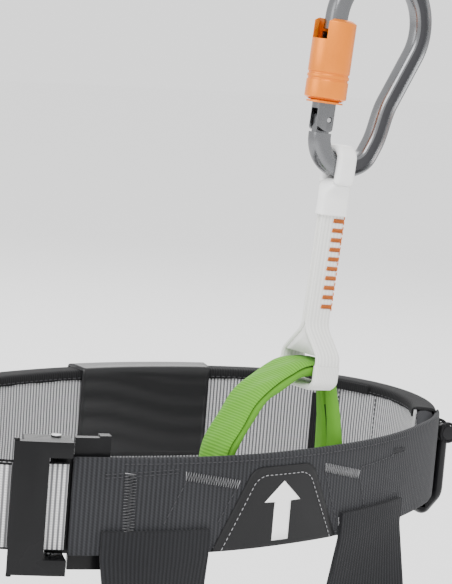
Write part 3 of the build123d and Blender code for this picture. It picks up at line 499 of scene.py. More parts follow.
def refined(name, node, material, bevel, segments=3, body=None):
    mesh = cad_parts[node].data.copy()
    piece = linked(name, mesh)
    shape = bmesh.new()
    shape.from_mesh(mesh)
    bmesh.ops.remove_doubles(shape, verts=shape.verts, dist=2e-6)
    bmesh.ops.dissolve_limit(shape, angle_limit=math.radians(1.5), verts=shape.verts, edges=shape.edges)
    shape.to_mesh(mesh)
    shape.free()
    mesh.materials.clear()
    mesh.materials.append(look[material])
    if bevel:
        rounding = piece.modifiers.new("rounding", "BEVEL")
        rounding.width = bevel
        rounding.segments = segments
        rounding.limit_method = "ANGLE"
        rounding.angle_limit = math.radians(38)
        rounding.harden_normals = False
        rounding.use_clamp_overlap = True
        applyModifiers(piece)
    smoothed(piece.data)
    piece.data.set_sharp_from_angle(angle=math.radians(40))
    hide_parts(node)
    if body:
        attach(piece, body)
    return piece


def joined(name, parts):
    # one piece from several, keeping the first one's finish
    with bpy.context.temp_override(active_object=parts[0], selected_editable_objects=parts,
                                   selected_objects=parts):
        bpy.ops.object.join()
    parts[0].name = name
    return parts[0]


def applyModifiers(piece):
    graph = bpy.context.evaluated_depsgraph_get()
    made = bpy.data.meshes.new_from_object(piece.evaluated_get(graph))
    piece.modifiers.clear()
    piece.data = made
    return piece


# thread work: Geometry Nodes trees for dashed stitches and for zigzag thread

def threadTree(name, dashed):
    # path edges to thread: dashes set along it, or one continuous round thread
    tree = bpy.data.node_groups.new(name, "GeometryNodeTree")
    face = tree.interface
    face.new_socket("Geometry", in_out="INPUT", socket_type="NodeSocketGeometry")
    for label in ("Pitch", "Length", "Radius"):
        face.new_socket(label, in_out="INPUT", socket_type="NodeSocketFloat")
    face.new_socket("Finish", in_out="INPUT", socket_type="NodeSocketMaterial")
    face.new_socket("Geometry", in_out="OUTPUT", socket_type="NodeSocketGeometry")
    start = tree.nodes.new("NodeGroupInput")

    def add(kind, **inputs):
        node = tree.nodes.new(kind)
        for label, value in inputs.items():
            socket = node.inputs[int(label[1:]) if label[0] == "_" else label.replace("_", " ")]
            if isinstance(value, bpy.types.NodeSocket):
                tree.links.new(value, socket)
            else:
                socket.default_value = value
        return node

    curve = add("GeometryNodeMeshToCurve", Mesh=start.outputs["Geometry"]).outputs["Curve"]
    radius = start.outputs["Radius"]
    if dashed:
        spaced = add("GeometryNodeResampleCurve", Curve=curve)
        spaced.mode = "LENGTH"
        tree.links.new(start.outputs["Pitch"], spaced.inputs["Length"])
        stitch = add("GeometryNodeMeshUVSphere", Segments=6, Rings=5, Radius=1.0)
        half = add("ShaderNodeMath", _0=start.outputs["Length"], _1=0.5)
        half.operation = "MULTIPLY"
        size = add("ShaderNodeCombineXYZ", _0=radius, _1=radius, _2=half.outputs[0])
        turn = add("FunctionNodeAlignEulerToVector", Vector=add("GeometryNodeInputTangent").outputs[0])
        turn.axis = "Z"
        last = add("GeometryNodeInstanceOnPoints", Points=spaced.outputs[0], Instance=stitch.outputs["Mesh"],
                   Rotation=turn.outputs[0], Scale=size.outputs[0])
    else:
        ring = add("GeometryNodeCurvePrimitiveCircle", Resolution=5, Radius=radius)
        last = add("GeometryNodeCurveToMesh", Curve=curve, Profile_Curve=ring.outputs[0], Fill_Caps=True)
    real = add("GeometryNodeRealizeInstances", _0=last.outputs[0])
    last = add("GeometryNodeSetMaterial", Geometry=real.outputs[0], Material=start.outputs["Finish"])
    tree.links.new(last.outputs[0], tree.nodes.new("NodeGroupOutput").inputs[0])
    return tree


dashTree = threadTree("stitchRun", True)
runTree = threadTree("threadRun", False)


def threads(name, paths, material, body, dashed=True, pitch=0.003, length=0.0023, radius=0.0003):
    points = []
    edges = []
    for path in paths:
        base = len(points)
        points += [tuple(p) for p in path]
        edges += [(base + i, base + i + 1) for i in range(len(path) - 1)]
    mesh = bpy.data.meshes.new(name)
    mesh.from_pydata(points, edges, [])
    piece = linked(name, mesh)
    tree = dashTree if dashed else runTree
    made = piece.modifiers.new("thread", "NODES")
    made.node_group = tree
    values = {"Pitch": pitch, "Length": length, "Radius": radius, "Finish": look[material]}
    for item in tree.interface.items_tree:
        if item.in_out == "INPUT" and item.name in values:
            made[item.identifier] = values[item.name]
    applyModifiers(piece)
    smoothed(piece.data)
    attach(piece, body)
    return piece


def ringPath(start, end, outward, height):
    return [ovalPoint(angle, outward, height) for angle, run in ringAngles(start, end, 0.002)]


def panelPoint(x, z, lift=0.0002):
    return ovalPoint(angleAtX(x), panelFace + lift, z)


def panelZigzag(x0, z0, x1, z1, x2, z2, rows, lift=0.0003):
    path = []
    for i in range(rows + 1):
        share = i / rows
        x = x0 + (x1 - x0) * share
        z = z0 + (z1 - z0) * share
        if i % 2:
            x += x2 - x0
            z += z2 - z0
        path.append(panelPoint(x, z, lift))
    return path


print("helpers ready")


# waist belt: padding, lining, bindings

def softRipple(run, height, size):
    # low uneven swell of padded cloth
    return size * (0.5 * math.sin(run * 46.0 + height * 60.0) + 0.3 * math.sin(run * 97.0 + 1.7)
                   + 0.2 * math.sin(height * 190.0 + run * 31.0))


def paddedWalk(inner, outer, low, high, steps, outSwell, inSwell):
    # section of a padded band: both faces swell between its rounded edges
    rim = min(0.003, (outer - inner) * 0.45)
    middle = (outer + inner) / 2
    half = (outer - inner) / 2
    span = high - low - 2 * rim
    walk = []
    for i in range(steps + 1):
        share = i / steps
        z = low + rim + span * share
        walk.append((outer + outSwell(share, z) * math.sin(math.pi * share), z))
    for i in range(1, 4):
        a = math.pi * i / 4
        walk.append((middle + half * math.cos(a), high - rim + rim * math.sin(a)))
    for i in range(steps + 1):
        share = 1 - i / steps
        z = low + rim + span * share
        walk.append((inner - inSwell(share, z) * math.sin(math.pi * share), z))
    for i in range(1, 4):
        a = math.pi + math.pi * i / 4
        walk.append((middle + half * math.cos(a), low + rim + rim * math.sin(a)))
    return walk


def padWalk(inner, outer, puff, swell, steps=9):
    # padding of the belt at an angle, with its uneven swell
    def section(angle, run):
        low = -padDrop(ovalPoint(angle, 0.0).y) + 0.0002
        return paddedWalk(inner, outer, low, belt["padTop"] - 0.0002, steps,
                          lambda share, z: puff + softRipple(run, z, swell),
                          lambda share, z: puff + softRipple(run + 0.2, z, swell))
    return section


padded = {"step": 0.004, "coverPuff": 0.0002, "liningPuff": 0.0009, "swell": 0.0005}
waistPad = ringSweep("waistPad", belt["padStart"], belt["padEnd"], padded["step"],
                     padWalk(-0.0088, 0.0012, padded["coverPuff"], 0.0002), "coverCloth")
belongs(waistPad, "belt", "dark_cloth", "belt_shell", "foam_left", "foam_back", "foam_right")
waistLining = ringSweep("waistLining", belt["padStart"], belt["padEnd"], padded["step"],
                        padWalk(-0.0104, -0.0085, padded["liningPuff"], padded["swell"], 14), "lining")
belongs(waistLining, "belt", "mesh", "belt_lining")

binding = {"lap": 0.0046, "fold": 0.00108, "inner": -0.01165, "outer": 0.00265}


def tapeWalk(inner, outer, fold, edge, toward, lap):
    # U section over an edge: outside of the U, then back along its inside
    middle = (inner + outer) / 2
    half = (outer - inner) / 2
    walk = [(outer, edge - toward * lap)]
    for i in range(13):
        a = math.pi * i / 12
        walk.append((middle + bent(math.cos(a), 0.45) * half,
                     edge - toward * 0.0022 + toward * 0.00345 * math.sin(a) ** 0.6))
    walk.append((inner, edge - toward * lap))
    walk += [(inner + fold, edge - toward * lap), (inner + fold, edge - toward * 0.0004)]
    walk += [(outer - fold, edge - toward * 0.0004), (outer - fold, edge - toward * lap)]
    return walk


def flatBand(name, node, body, start, end, step, walk, material, slotName):
    # flat webbing round part of the belt; walk holds outer face, inner face, top, bottom and rim
    piece = ringSweep(name, start, end, step, lambda angle, run: roundedStrip(*walk), material)
    belongs(piece, body, slotName, node)
    return piece


def bindTape(name, node, toward):
    def section(angle, run):
        y = ovalPoint(angle, 0.0).y
        edge = belt["padTop"] if toward > 0 else -padDrop(y)
        lap = binding["lap"] + 0.0002 * math.sin(run * 210.0) + 0.00015 * math.sin(run * 570.0)
        return tapeWalk(binding["inner"], binding["outer"], binding["fold"], edge, toward, lap)
    tape = ringSweep(name, belt["padStart"], belt["padEnd"], 0.003, section, "blackTape")
    belongs(tape, "belt", "black_tape", node)


bindTape("topBinding", "top_binding", 1)
bindTape("bottomBinding", "bottom_binding", -1)
seams = []
for outward in (binding["inner"] - 0.0001, binding["outer"] + 0.0001):
    seams.append(ringPath(belt["padStart"] + 0.5, belt["padEnd"] - 0.5, outward, belt["padTop"] - 0.0034))
threads("topBindingSeam", seams, "darkThread", "belt", pitch=0.0034, length=0.0026)
print("padding and bindings made")

# outer webbing and front panel

flatBand("waistWebbing", "waist_webbing", "belt", -37.6, 214.0, 0.004,
         (0.0038, 0.00147, 0.017, -0.023, 0.001), "darkWebbing", "dark_webbing")
threads("waistWebbingSeams",
        [ringPath(-36.5, 213.0, 0.0039, z) for z in (0.0145, 0.0125, -0.0185, -0.0205)],
        "darkThread", "belt", pitch=0.0036, length=0.0028)


def panelSection(angle, run):
    inner = 0.00278 if angle > 315.0 else panelBack
    swell = 0.00015 * math.sin(run * 55.0)
    return roundedStrip(panelFace, inner, belt["frontHalf"] + swell, -belt["frontHalf"] + swell, 0.0014)


frontPanel = ringSweep("frontPanel", 246.0, 322.0, 0.0025, panelSection, "panelWebbing")
belongs(frontPanel, "belt", "dark_webbing", "front_panel")

boxTacks = [
    panelZigzag(-0.0875, 0.0175, -0.0865, -0.021, -0.0820, 0.0175, 52),
    panelZigzag(-0.0570, 0.0178, -0.0270, 0.0120, -0.0575, 0.0135, 44),
    panelZigzag(0.0285, 0.0165, 0.0560, 0.0095, 0.0280, 0.0120, 40),
    panelZigzag(0.0420, -0.0145, 0.0640, -0.0195, 0.0415, -0.0185, 34),
    panelZigzag(-0.0650, -0.0160, -0.0420, -0.0190, -0.0655, -0.0200, 34),
]
threads("panelTacks", boxTacks, "greyThread", "belt", dashed=False, radius=0.0003)


def panelLine(x0, z0, x1, z1, steps=16):
    return [panelPoint(x0 + (x1 - x0) * i / steps, z0 + (z1 - z0) * i / steps) for i in range(steps + 1)]


panelSeams = [
    panelLine(-0.0955, 0.0168, -0.0620, 0.0190), panelLine(-0.0955, 0.0150, -0.0620, 0.0172),
    panelLine(-0.0570, 0.0118, -0.0660, -0.0075), panelLine(-0.0270, 0.0105, -0.0370, -0.0080),
    panelLine(0.0280, 0.0135, 0.0390, -0.0135), panelLine(0.0560, 0.0080, 0.0650, -0.0190),
    panelLine(0.0580, 0.0110, 0.0850, 0.0130), panelLine(0.0860, 0.0135, 0.0990, 0.0135),
    panelLine(-0.0870, 0.0220, 0.1000, 0.0220, 60), panelLine(-0.0870, -0.0220, 0.1000, -0.0220, 60),
]
threads("panelSeams", panelSeams, "darkThread", "belt", pitch=0.0031, length=0.0025)
threads("sideCluster", [panelZigzag(0.0870, 0.0170, 0.0985, 0.0160, 0.0870, 0.0145, 16)], "darkThread",
        "belt", dashed=False, radius=0.00026)


# arrow patch

def rowPatch(name, rows, inner, outer, material, columns=14):
    # thin piece on the panel, from rows of (height, half width)
    sections = []
    lengths = []
    for z, half in rows:
        front = []
        back = []
        for i in range(columns + 1):
            x = -half + 2 * half * i / columns
            edge = min(1.0, (half - abs(x)) / 0.0008) if half > 0.0015 else 1.0
            front.append(ovalPoint(angleAtX(x), inner + (outer - inner) * (0.55 + 0.45 * edge), z))
            back.append(ovalPoint(angleAtX(x), inner, z))
        sections.append(front + list(reversed(back)))
        lengths.append(z - rows[0][0])
    return sweepSections(name, sections, lengths, material)


patch = {"top": 0.018, "bottom": -0.024, "topHalf": 0.019, "bottomHalf": 0.040, "corner": 0.005,
         "face": panelFace + 0.001, "inset": 0.0048}


def patchHalf(z, inset=0.0):
    share = (z - patch["bottom"]) / (patch["top"] - patch["bottom"])
    half = patch["bottomHalf"] + (patch["topHalf"] - patch["bottomHalf"]) * share - inset
    below = patch["top"] - inset * 0.9 - z
    if below < patch["corner"]:
        half -= patch["corner"] - math.sqrt(max(0.0, patch["corner"] ** 2 - (patch["corner"] - below) ** 2))
    return half


patchRows = [(patch["bottom"] + 0.0012 * i, 0) for i in range(31)]
patchRows += [(patch["top"] - 0.005 * (1 - math.sin(math.pi / 2 * i / 8)), 0) for i in range(9)]
arrowPatch = rowPatch("arrowPatch", [(z, patchHalf(z)) for z, _ in patchRows], panelFace, patch["face"],
                      "patchCloth", 22)
belongs(arrowPatch, "belt", "coated_cloth", "arrow_patch")
markRows = [(z, 0.0052) for z in (-0.021, -0.016, -0.011, -0.006, -0.0006)]
markRows += [(-0.0005 + 0.0105 * i / 6, 0.0114 * (1 - i / 6) + 0.0001) for i in range(7)]
arrowMark = rowPatch("arrowMark", markRows, patch["face"] - 0.0002, patch["face"] + 0.00035, "markPrint", 10)
belongs(arrowMark, "belt", "white_print", "arrow_mark")
insetTop = patch["top"] - patch["inset"] * 0.9
patchSeam = []
for side in (-1, 1):
    heights = [patch["bottom"] + 0.001 + (insetTop - patch["bottom"] - 0.001) * i / 40 for i in range(41)]
    patchSeam.append([ovalPoint(angleAtX(side * patchHalf(z, patch["inset"])), patch["face"] + 0.0002, z)
                      for z in heights])
reach = patchHalf(insetTop, patch["inset"])
patchSeam.append([ovalPoint(angleAtX(-reach + 2 * reach * i / 12), patch["face"] + 0.0002, insetTop)
                  for i in range(13)])
threads("patchSeam", patchSeam, "greyThread", "belt", pitch=0.0027, length=0.0019, radius=0.00026)
print("front panel and patch made")

# coated sleeve over the back, side strips

sleeve = {"start": 70.0, "end": 88.5, "drop": 0.027, "inner": -0.0129, "outer": 0.0050, "top": 0.0280}


def sleeveSection(angle, run):
    share = (angle - sleeve["start"]) / (sleeve["end"] - sleeve["start"])
    drop = sleeve["drop"] + 0.0006 * math.sin(share * 5.0)
    walk = []
    rows = 16
    for i in range(rows + 1):
        z = -drop + (sleeve["top"] - 0.003 + drop) * i / rows
        fold = 0.00035 * math.sin(z * 520.0 + 3.0 * math.sin(share * 4.0 + 1.0)) * min(1.0, i / 3)
        walk.append((sleeve["inner"] - fold * 0.8 - 0.0003, z))
    for i in range(1, 10):
        a = math.pi * i / 10
        middle = (sleeve["inner"] + sleeve["outer"]) / 2
        half = (sleeve["outer"] - sleeve["inner"]) / 2
        across = -bent(math.cos(a), 0.5) * half
        walk.append((middle + across, sleeve["top"] - 0.003 + 0.0034 * math.sin(a) ** 0.6))
    for i in range(rows + 1):
        z = sleeve["top"] - 0.003 - (sleeve["top"] - 0.003 + drop) * i / rows
        walk.append((sleeve["outer"] + 0.0002 * math.sin(z * 400.0 + share * 3.0), z))
    walk.append((sleeve["outer"] - 0.001, -drop))
    walk.append((sleeve["outer"] - 0.001, sleeve["top"] - 0.0016))
    walk.append((sleeve["inner"] + 0.001, sleeve["top"] - 0.0016))
    walk.append((sleeve["inner"] + 0.001, -drop))
    return walk


labelSleeve = ringSweep("labelSleeve", sleeve["start"], sleeve["end"], 0.0025, sleeveSection, "coatedCloth")
belongs(labelSleeve, "belt", "coated_cloth", "label_sleeve")
strips = {
    "innerStripLeft": ("inner_strip_left", 36.5, 41.0, -0.030, 0.016),
    "innerStripRight": ("inner_strip_right", 139.0, 143.5, -0.030, 0.016),
    "topStrip": ("top_strip", 9.0, 33.0, 0.0205, 0.0260),
}
for name, (node, start, end, low, high) in strips.items():
    flatBand(name, node, "belt", start, end, 0.0012, (-0.0117, -0.0132, high, low, 0.0006), "blackTape",
             "black_tape")
boxSeam = []
for angle in (4.5, 27.0):
    boxSeam.append([ovalPoint(angle, -0.01150, -0.030 + 0.048 * i / 20) for i in range(21)])
threads("liningBoxSeams", boxSeam, "darkThread", "belt", pitch=0.0028, length=0.0022, radius=0.0004)
print("sleeve and strips made")


# waist strap, buckle and gear loops

def boxWeave(piece):
    # cloth map in metres for a piece without one, by each face's main direction
    mesh = piece.data
    layer = mesh.uv_layers.get("weave") or mesh.uv_layers.new(name="weave")
    for face in mesh.polygons:
        x, y, z = (abs(v) for v in face.normal)
        for index in face.loop_indices:
            p = mesh.vertices[mesh.loops[index].vertex_index].co
            if z > max(x, y):
                layer.data[index].uv = (p.x, p.y)
            elif x > y:
                layer.data[index].uv = (p.y, p.z)
            else:
                layer.data[index].uv = (p.x, p.z)


def paintFaces(piece, material, wanted):
    # second finish on the faces whose middle passes a test
    piece.data.materials.append(look[material])
    for face in piece.data.polygons:
        if wanted(face.center):
            face.material_index = 1


def dressed(name, node, material, bevel, body, segments=3):
    piece = refined(name, node, material, bevel, segments, body)
    boxWeave(piece)
    return piece


straps = {
    "waistStrap": ("waist_strap", "belt", 214.5, 245.5, (0.00475, 0.00278, 0.0225, -0.0225, 0.001)),
    "strapTail": ("strap_tail", "strap_end", 219.0, 238.0, (0.0070, 0.0051, 0.0215, -0.0215, 0.001)),
}
for name, (node, body, start, end, walk) in straps.items():
    strap = flatBand(name, node, body, start, end, 0.002, walk, "stripedStrap", "striped_webbing")
    paintFaces(strap, "blackTape", lambda p: abs(p.z) > 0.0203)
dressed("tailKeeper", "tail_keeper", "blackTape", 0.0004, "belt")
dressed("buckleFrame", "buckle_frame", "blackMetal", 0.0014, "belt", 4)
dressed("buckleLever", "buckle_lever", "blackMetal", 0.0014, "lever", 4)
dressed("bucklePin", "buckle_pin", "steel", 0.0003, "belt")
dressed("buckleRivets", "buckle_rivets", "blackMetal", 0.0003, "belt")
for side in ("Left", "Right"):
    low = side.lower()
    dressed("gearLoop" + side, "gear_loop_" + low, "blackPlastic", 0.0003, "gear_" + low)
    dressed("gearTabs" + side, "gear_tabs_" + low, "blackTape", 0.0004, "belt")
print("straps and buckle made")


# green attachment loop

def filletPath(corners, radii, step):
    # evenly spaced points along straight runs joined by arcs
    points = [Vector(c) for c in corners]
    walk = [points[0]]
    for i in range(1, len(points) - 1):
        before = (points[i - 1] - points[i]).normalized()
        after = (points[i + 1] - points[i]).normalized()
        half = before.angle(after) / 2
        radius = radii[i - 1]
        reach = radius / math.tan(half)
        centre = points[i] + (before + after).normalized() * (radius / math.sin(half))
        first = points[i] + before * reach - centre
        last = points[i] + after * reach - centre
        steps = max(4, int(radius * (math.pi - 2 * half) / step))
        for k in range(steps + 1):
            walk.append(centre + first.normalized().slerp(last.normalized(), k / steps) * radius)
    walk.append(points[-1])
    lengths = [0.0]
    for a, b in zip(walk, walk[1:]):
        lengths.append(lengths[-1] + (b - a).length)
    return [point for point, run in evenly(walk, lengths, max(2, int(lengths[-1] / step)))]


loop = {"y": -0.0879, "half": 0.012, "thick": 0.0045, "foot": -0.020, "middle": -0.0020,
        "edge": math.pi + 0.20, "smoothFrom": 0.56}
loopCorners = [(-0.029, loop["y"], loop["foot"]), (-0.029, loop["y"], 0.010), (-0.0275, loop["y"], 0.024),
               (-0.0095, loop["y"], 0.0515), (0.0165, loop["y"], 0.0650), (0.0395, loop["y"], 0.0640),
               (0.0455, loop["y"], 0.036), (0.0485, loop["y"], 0.012), (0.0485, loop["y"], loop["foot"])]
loopPoints = filletPath(loopCorners, (0.02, 0.02, 0.035, 0.020, 0.009, 0.020, 0.02), 0.0009)
loopFrames = framesAlong(loopPoints, Vector((0, 1, 0)))


def loopSection(share):
    # padded band as a broad lobe and a narrow one with a deep seam between them
    walk = []
    steps = 120
    right = min(1.0, max(0.0, (share - 0.56) / 0.08))
    drawn = 1 - 0.52 * right * (1 - min(1.0, max(0.0, (share - 0.64) / 0.28)))
    thin = 1 - 0.2 * right * (1 - min(1.0, max(0.0, (share - 0.64) / 0.28)))
    for i in range(steps):
        a = 2 * math.pi * i / steps
        across = bent(math.cos(a), 0.6) * loop["half"] * drawn
        out = bent(math.sin(a), 0.75) * loop["thick"] * thin
        groove = math.exp(-((across - loop["middle"]) / 0.00085) ** 2) * right
        notch = math.exp(-((a - loop["edge"]) / 0.10) ** 2) * (1 - right)
        swell = 1 + 0.10 * right * math.cos((across - loop["middle"]) / loop["half"] * 3.1)
        ripple = 0.00022 * math.sin(share * 61.0 + across * 500) * (1 - right)
        walk.append((across * (1 - 0.15 * notch),
                     out * swell * (1 - 0.55 * groove) + ripple * (1 if out > 0 else -1)))
    return walk


def loopFinish(piece):
    # ribbed cloth on the broad face of the long leg, smooth elsewhere, with painted shade as dark green in
    # the seam and the edge notch
    piece.data.materials.append(look["greenPlain"])
    piece.data.materials.append(look["greenSeamShade"])
    ring = 120
    rows = len(loopFrames)
    for index, face in enumerate(piece.data.polygons):
        if len(face.vertices) > 4:
            continue
        share = (min(face.vertices) // ring) / rows
        slots = sorted(v % ring for v in face.vertices)
        turned = 2 * math.pi * (slots[1] + (0 if slots[-1] - slots[0] < ring / 2 else ring)) / ring
        across = face.center.y - loop["y"]
        if share > loop["smoothFrom"]:
            # faces in the seam crease take the dark green of painted shade
            face.material_index = 2 if abs(across - loop["middle"]) < 0.00050 else 1
        elif abs(turned - loop["edge"]) < 0.062:
            face.material_index = 2
        elif loop["edge"] - 1.3 < turned < loop["edge"]:
            face.material_index = 1


greenLoop = pathSweep("greenLoop", loopFrames, loopSection, "greenCloth")
loopFinish(greenLoop)
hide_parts("loop_cover", "loop_core", "loop_foot_left", "loop_foot_right")
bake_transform(greenLoop)
print("green loop made")


# sling with its eyes, tacks and hood

hang = {"lean": math.radians(4.2), "origin": Vector((0.028, loop["y"], 0.0537)), "half": 0.008, "web": 0.0022,
        "eyeHalf": 0.0043, "barUp": 0.1163, "shoulder": 0.0176, "neck": 0.0316,
        "lowHalf": 0.0141, "shank": 0.00117, "highHalf": 0.0063}
leanUp = Vector((math.sin(hang["lean"]), 0, math.cos(hang["lean"])))
leanAcross = Vector((math.cos(hang["lean"]), 0, -math.sin(hang["lean"])))


def onSling(across, back, up):
    # point beside the sling's line: across its face, towards the back, and up
    return hang["origin"] + leanAcross * across + Vector((0, back, 0)) + leanUp * up


def slingCorners(side):
    low = hang["lowHalf"] * side
    high = hang["highHalf"] * side
    shank = hang["shank"] * side
    return [(low * 0.78, 0.0011), (low, 0.0040), (low, hang["shoulder"]), (shank, hang["neck"]),
            (shank, hang["barUp"] - 0.016), (high, hang["barUp"] - 0.007), (high, 0.1225),
            (high * 0.55, 0.1259)]


frontSide = [onSling(0, -b, u) for b, u in slingCorners(1)]
backSide = [onSling(0, -b, u) for b, u in reversed(slingCorners(-1))]
slingRoute = [onSling(0, 0, 0.0011)] + frontSide + backSide + [onSling(0, 0, 0.0011)]
halfRadii = [0.0022, 0.0022, 0.006, 0.010, 0.006, 0.004, 0.002, 0.002]
slingRadii = halfRadii + halfRadii[::-1]
slingPoints = filletPath(slingRoute, slingRadii, 0.0010)[:-1]


def slingSweep(name, points, half, thick, material, closed):
    # webbing along the sling's line, drawn in at the small eye
    sections = []
    lengths = [0.0]
    count = len(points)
    for i, point in enumerate(points):
        if closed:
            tangent = (points[(i + 1) % count] - points[i - 1]).normalized()
        else:
            tangent = (points[min(i + 1, count - 1)] - points[max(i - 1, 0)]).normalized()
        out = tangent.cross(leanAcross).normalized()
        up = (point - hang["origin"]).dot(leanUp)
        share = min(1.0, max(0.0, (up - hang["barUp"] + 0.022) / 0.013))
        width = half + (hang["eyeHalf"] - half) * share
        sections.append([point + leanAcross * a + out * b
                         for a, b in stripSection(width, thick, crown=0.00012)])
        if i:
            lengths.append(lengths[-1] + (point - points[i - 1]).length)
    return sweepSections(name, sections, lengths, material, closed=closed)


slingWeb = slingSweep("slingWeb", slingPoints, hang["half"], hang["web"] * 0.97, "whiteWebbing", True)
belongs(slingWeb, "sling", "white_webbing", "sling_web")
gusset = [(-0.0125, 0.0178), (0.0125, 0.0178), (0.0100, 0.0215), (0.0, 0.0330), (-0.0100, 0.0215)]
gussetRing = [Vector((gusset[i - 1][0], gusset[i - 1][1])).lerp(Vector(gusset[i]), k / 6)
              for i in range(len(gusset)) for k in range(6)]
gussetRows = [[onSling(a, p.x, p.y) for p in gussetRing] for a in (-0.0068, 0.0068)]
slingGusset = sweepSections("slingGusset", gussetRows, [0.0, 0.0136], "whiteWebbing")
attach(slingGusset, "sling")
guard = {"half": 0.0084, "thick": 0.0029, "top": 0.0138}
guardRoute = [p for p in slingPoints if (p - hang["origin"]).dot(leanUp) < guard["top"]]
gap = max(range(1, len(guardRoute)), key=lambda i: (guardRoute[i] - guardRoute[i - 1]).length)
guardRoute = guardRoute[gap:] + guardRoute[:gap]
slingGuard = slingSweep("slingGuard", guardRoute, guard["half"], guard["thick"], "whiteWebbing", False)
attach(slingGuard, "sling")
tackPaths = []
for i in range(10):
    for face in (-1, 1):
        lift = face * (0.0024 + 0.00022)
        up = 0.0428 + 0.00505 * i
        tackPaths.append([onSling(0.0002 + 0.0072 * k / 26, lift, up + (0.0010 if k % 2 else -0.0010))
                          for k in range(27)])
slingTacks = threads("slingTacks", tackPaths, "orangeThread", "sling", dashed=False, radius=0.00030)
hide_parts("sling_tacks")
edgeRows = [[onSling(0.0076, face * 0.0024, 0.0415 + 0.0485 * k / 50) for k in range(51)] for face in (-1, 1)]
threads("slingEdge", edgeRows, "orangeThread", "sling", pitch=0.0026, length=0.0021)


hood = {"low": 0.0908, "half": 0.0093, "back": 0.0037, "ringHalf": 0.0060, "thick": 0.0042}


def hoodSection(up):
    # rounded walk across the hood, flat below and square under the bar
    share = min(1.0, max(0.0, (up - hood["low"] - 0.009) / 0.011))
    share = share * share * (3 - 2 * share)
    dome = min(0.93, max(0.0, (up - hood["low"] - 0.0140) / 0.0053))
    dome = math.sqrt(1 - dome * dome)
    half = (hood["half"] + (hood["ringHalf"] + 0.0006 - hood["half"]) * share) * (0.25 + 0.75 * dome)
    back = (hood["back"] + (0.0082 - hood["back"]) * share) * (0.25 + 0.75 * dome)
    flare = 0.0003 * math.exp(-((up - hood["low"]) / 0.0012) ** 2)
    walk = []
    for i in range(40):
        a = 2 * math.pi * i / 40
        walk.append(onSling(bent(math.cos(a), 0.55) * (half + flare),
                            bent(math.sin(a), 0.55) * (back + flare), up))
    return walk


hoodUps = [hood["low"] + 0.0193 * i / 24 for i in range(25)]
hoodRows = [hoodSection(up) for up in hoodUps]
hoodTube = sweepSections("hoodTube", hoodRows, [up - hood["low"] for up in hoodUps], "whiteRubber")
ringRoute = [p for p in slingPoints if (p - hang["origin"]).dot(leanUp) > hood["low"] + 0.0165]
ringRows = []
for i, point in enumerate(ringRoute):
    tangent = (ringRoute[min(i + 1, len(ringRoute) - 1)] - ringRoute[max(i - 1, 0)]).normalized()
    out = tangent.cross(leanAcross).normalized()
    ringRows.append([point + leanAcross * a + out * (b + 0.0002)
                     for a, b in stripSection(hood["ringHalf"], hood["thick"], rim=0.0016, crown=0.0002)])
hoodRing = sweepSections("hoodRing", ringRows, [0.001 * i for i in range(len(ringRows))], "whiteRubber")
slingHood = joined("slingHood", [hoodTube, hoodRing])
belongs(slingHood, "sling", "white_rubber", "sling_keeper")
print("sling made")

# carabiner

clip = {"across": -0.0155, "end": 0.0155, "lean": math.radians(26.0), "spine": 0.060, "half": 0.0055,
        "depth": 0.0048, "start": 0.0166, "nose": 0.0696, "hinge": 0.0235, "groove": 0.0024, "bulge": 0.0045}
spineFoot = (clip["end"] * math.cos(clip["lean"]), clip["end"] * (1 - math.sin(clip["lean"])))
spineHead = (spineFoot[0] + clip["spine"] * math.sin(clip["lean"]),
             spineFoot[1] + clip["spine"] * math.cos(clip["lean"]))
bowRadius = ((clip["end"] * math.cos(clip["lean"]) + clip["spine"] * math.sin(clip["lean"]) + clip["end"])
             / (1 + math.cos(clip["lean"])))
bowCentre = (clip["across"] + bowRadius, spineHead[1] + bowRadius * math.sin(clip["lean"]))


def onClip(across, up, back=0.0):
    return onSling(across, back, hang["barUp"] + up)


clipPath = [(clip["across"], clip["start"] - 0.0011 * i / 4) for i in range(4)]
for i in range(41):
    a = math.pi + (math.pi - clip["lean"]) * i / 40
    clipPath.append((clip["end"] * math.cos(a), clip["end"] + clip["end"] * math.sin(a)))
for i in range(1, 40):
    clipPath.append((spineFoot[0] + (spineHead[0] - spineFoot[0]) * i / 40,
                     spineFoot[1] + (spineHead[1] - spineFoot[1]) * i / 40))
for i in range(61):
    a = -clip["lean"] + (math.pi + clip["lean"]) * i / 60
    clipPath.append((bowCentre[0] + bowRadius * math.cos(a), bowCentre[1] + bowRadius * math.sin(a)))
clipPath.append((clip["across"], clip["nose"] + 0.0006))
clipPath.append((clip["across"], clip["nose"]))


def easing(value, low, high):
    # smooth step from 0 at low to 1 at high
    share = min(1.0, max(0.0, (value - low) / (high - low)))
    return share * share * (3 - 2 * share)


clipPath = [(a + clip["bulge"] * easing(a, -0.002, 0.013) * (1 - easing(u, 0.013, 0.037)), u)
            for a, u in clipPath]


def clipSection(share):
    # rounded bar, hollowed to an I along the spine and round the bow
    deep = min(1.0, max(0.0, (share - 0.17) / 0.05)) * min(1.0, max(0.0, (0.86 - share) / 0.06))
    deep = deep * deep * (3 - 2 * deep)
    walk = []
    steps = 64
    for i in range(steps):
        a = 2 * math.pi * i / steps
        across = bent(math.cos(a), 0.62) * clip["half"]
        out = bent(math.sin(a), 0.62) * clip["depth"]
        hollow = 1 / (1 + math.exp((abs(across) - 0.0030) / 0.00022))
        walk.append((across, math.copysign(max(0.0, abs(out) - clip["groove"] * deep * hollow), out)))
    return walk


clipFrames = []
for i, (a, u) in enumerate(clipPath):
    before = clipPath[max(i - 1, 0)]
    after = clipPath[min(i + 1, len(clipPath) - 1)]
    run = Vector((after[0] - before[0], after[1] - before[1])).normalized()
    normal = leanAcross * run.y - leanUp * run.x
    clipFrames.append((onClip(a, u), normal, Vector((0, -1, 0))))
clipBody = pathSweep("carabinerBody", clipFrames, clipSection, "forgedAlloy")


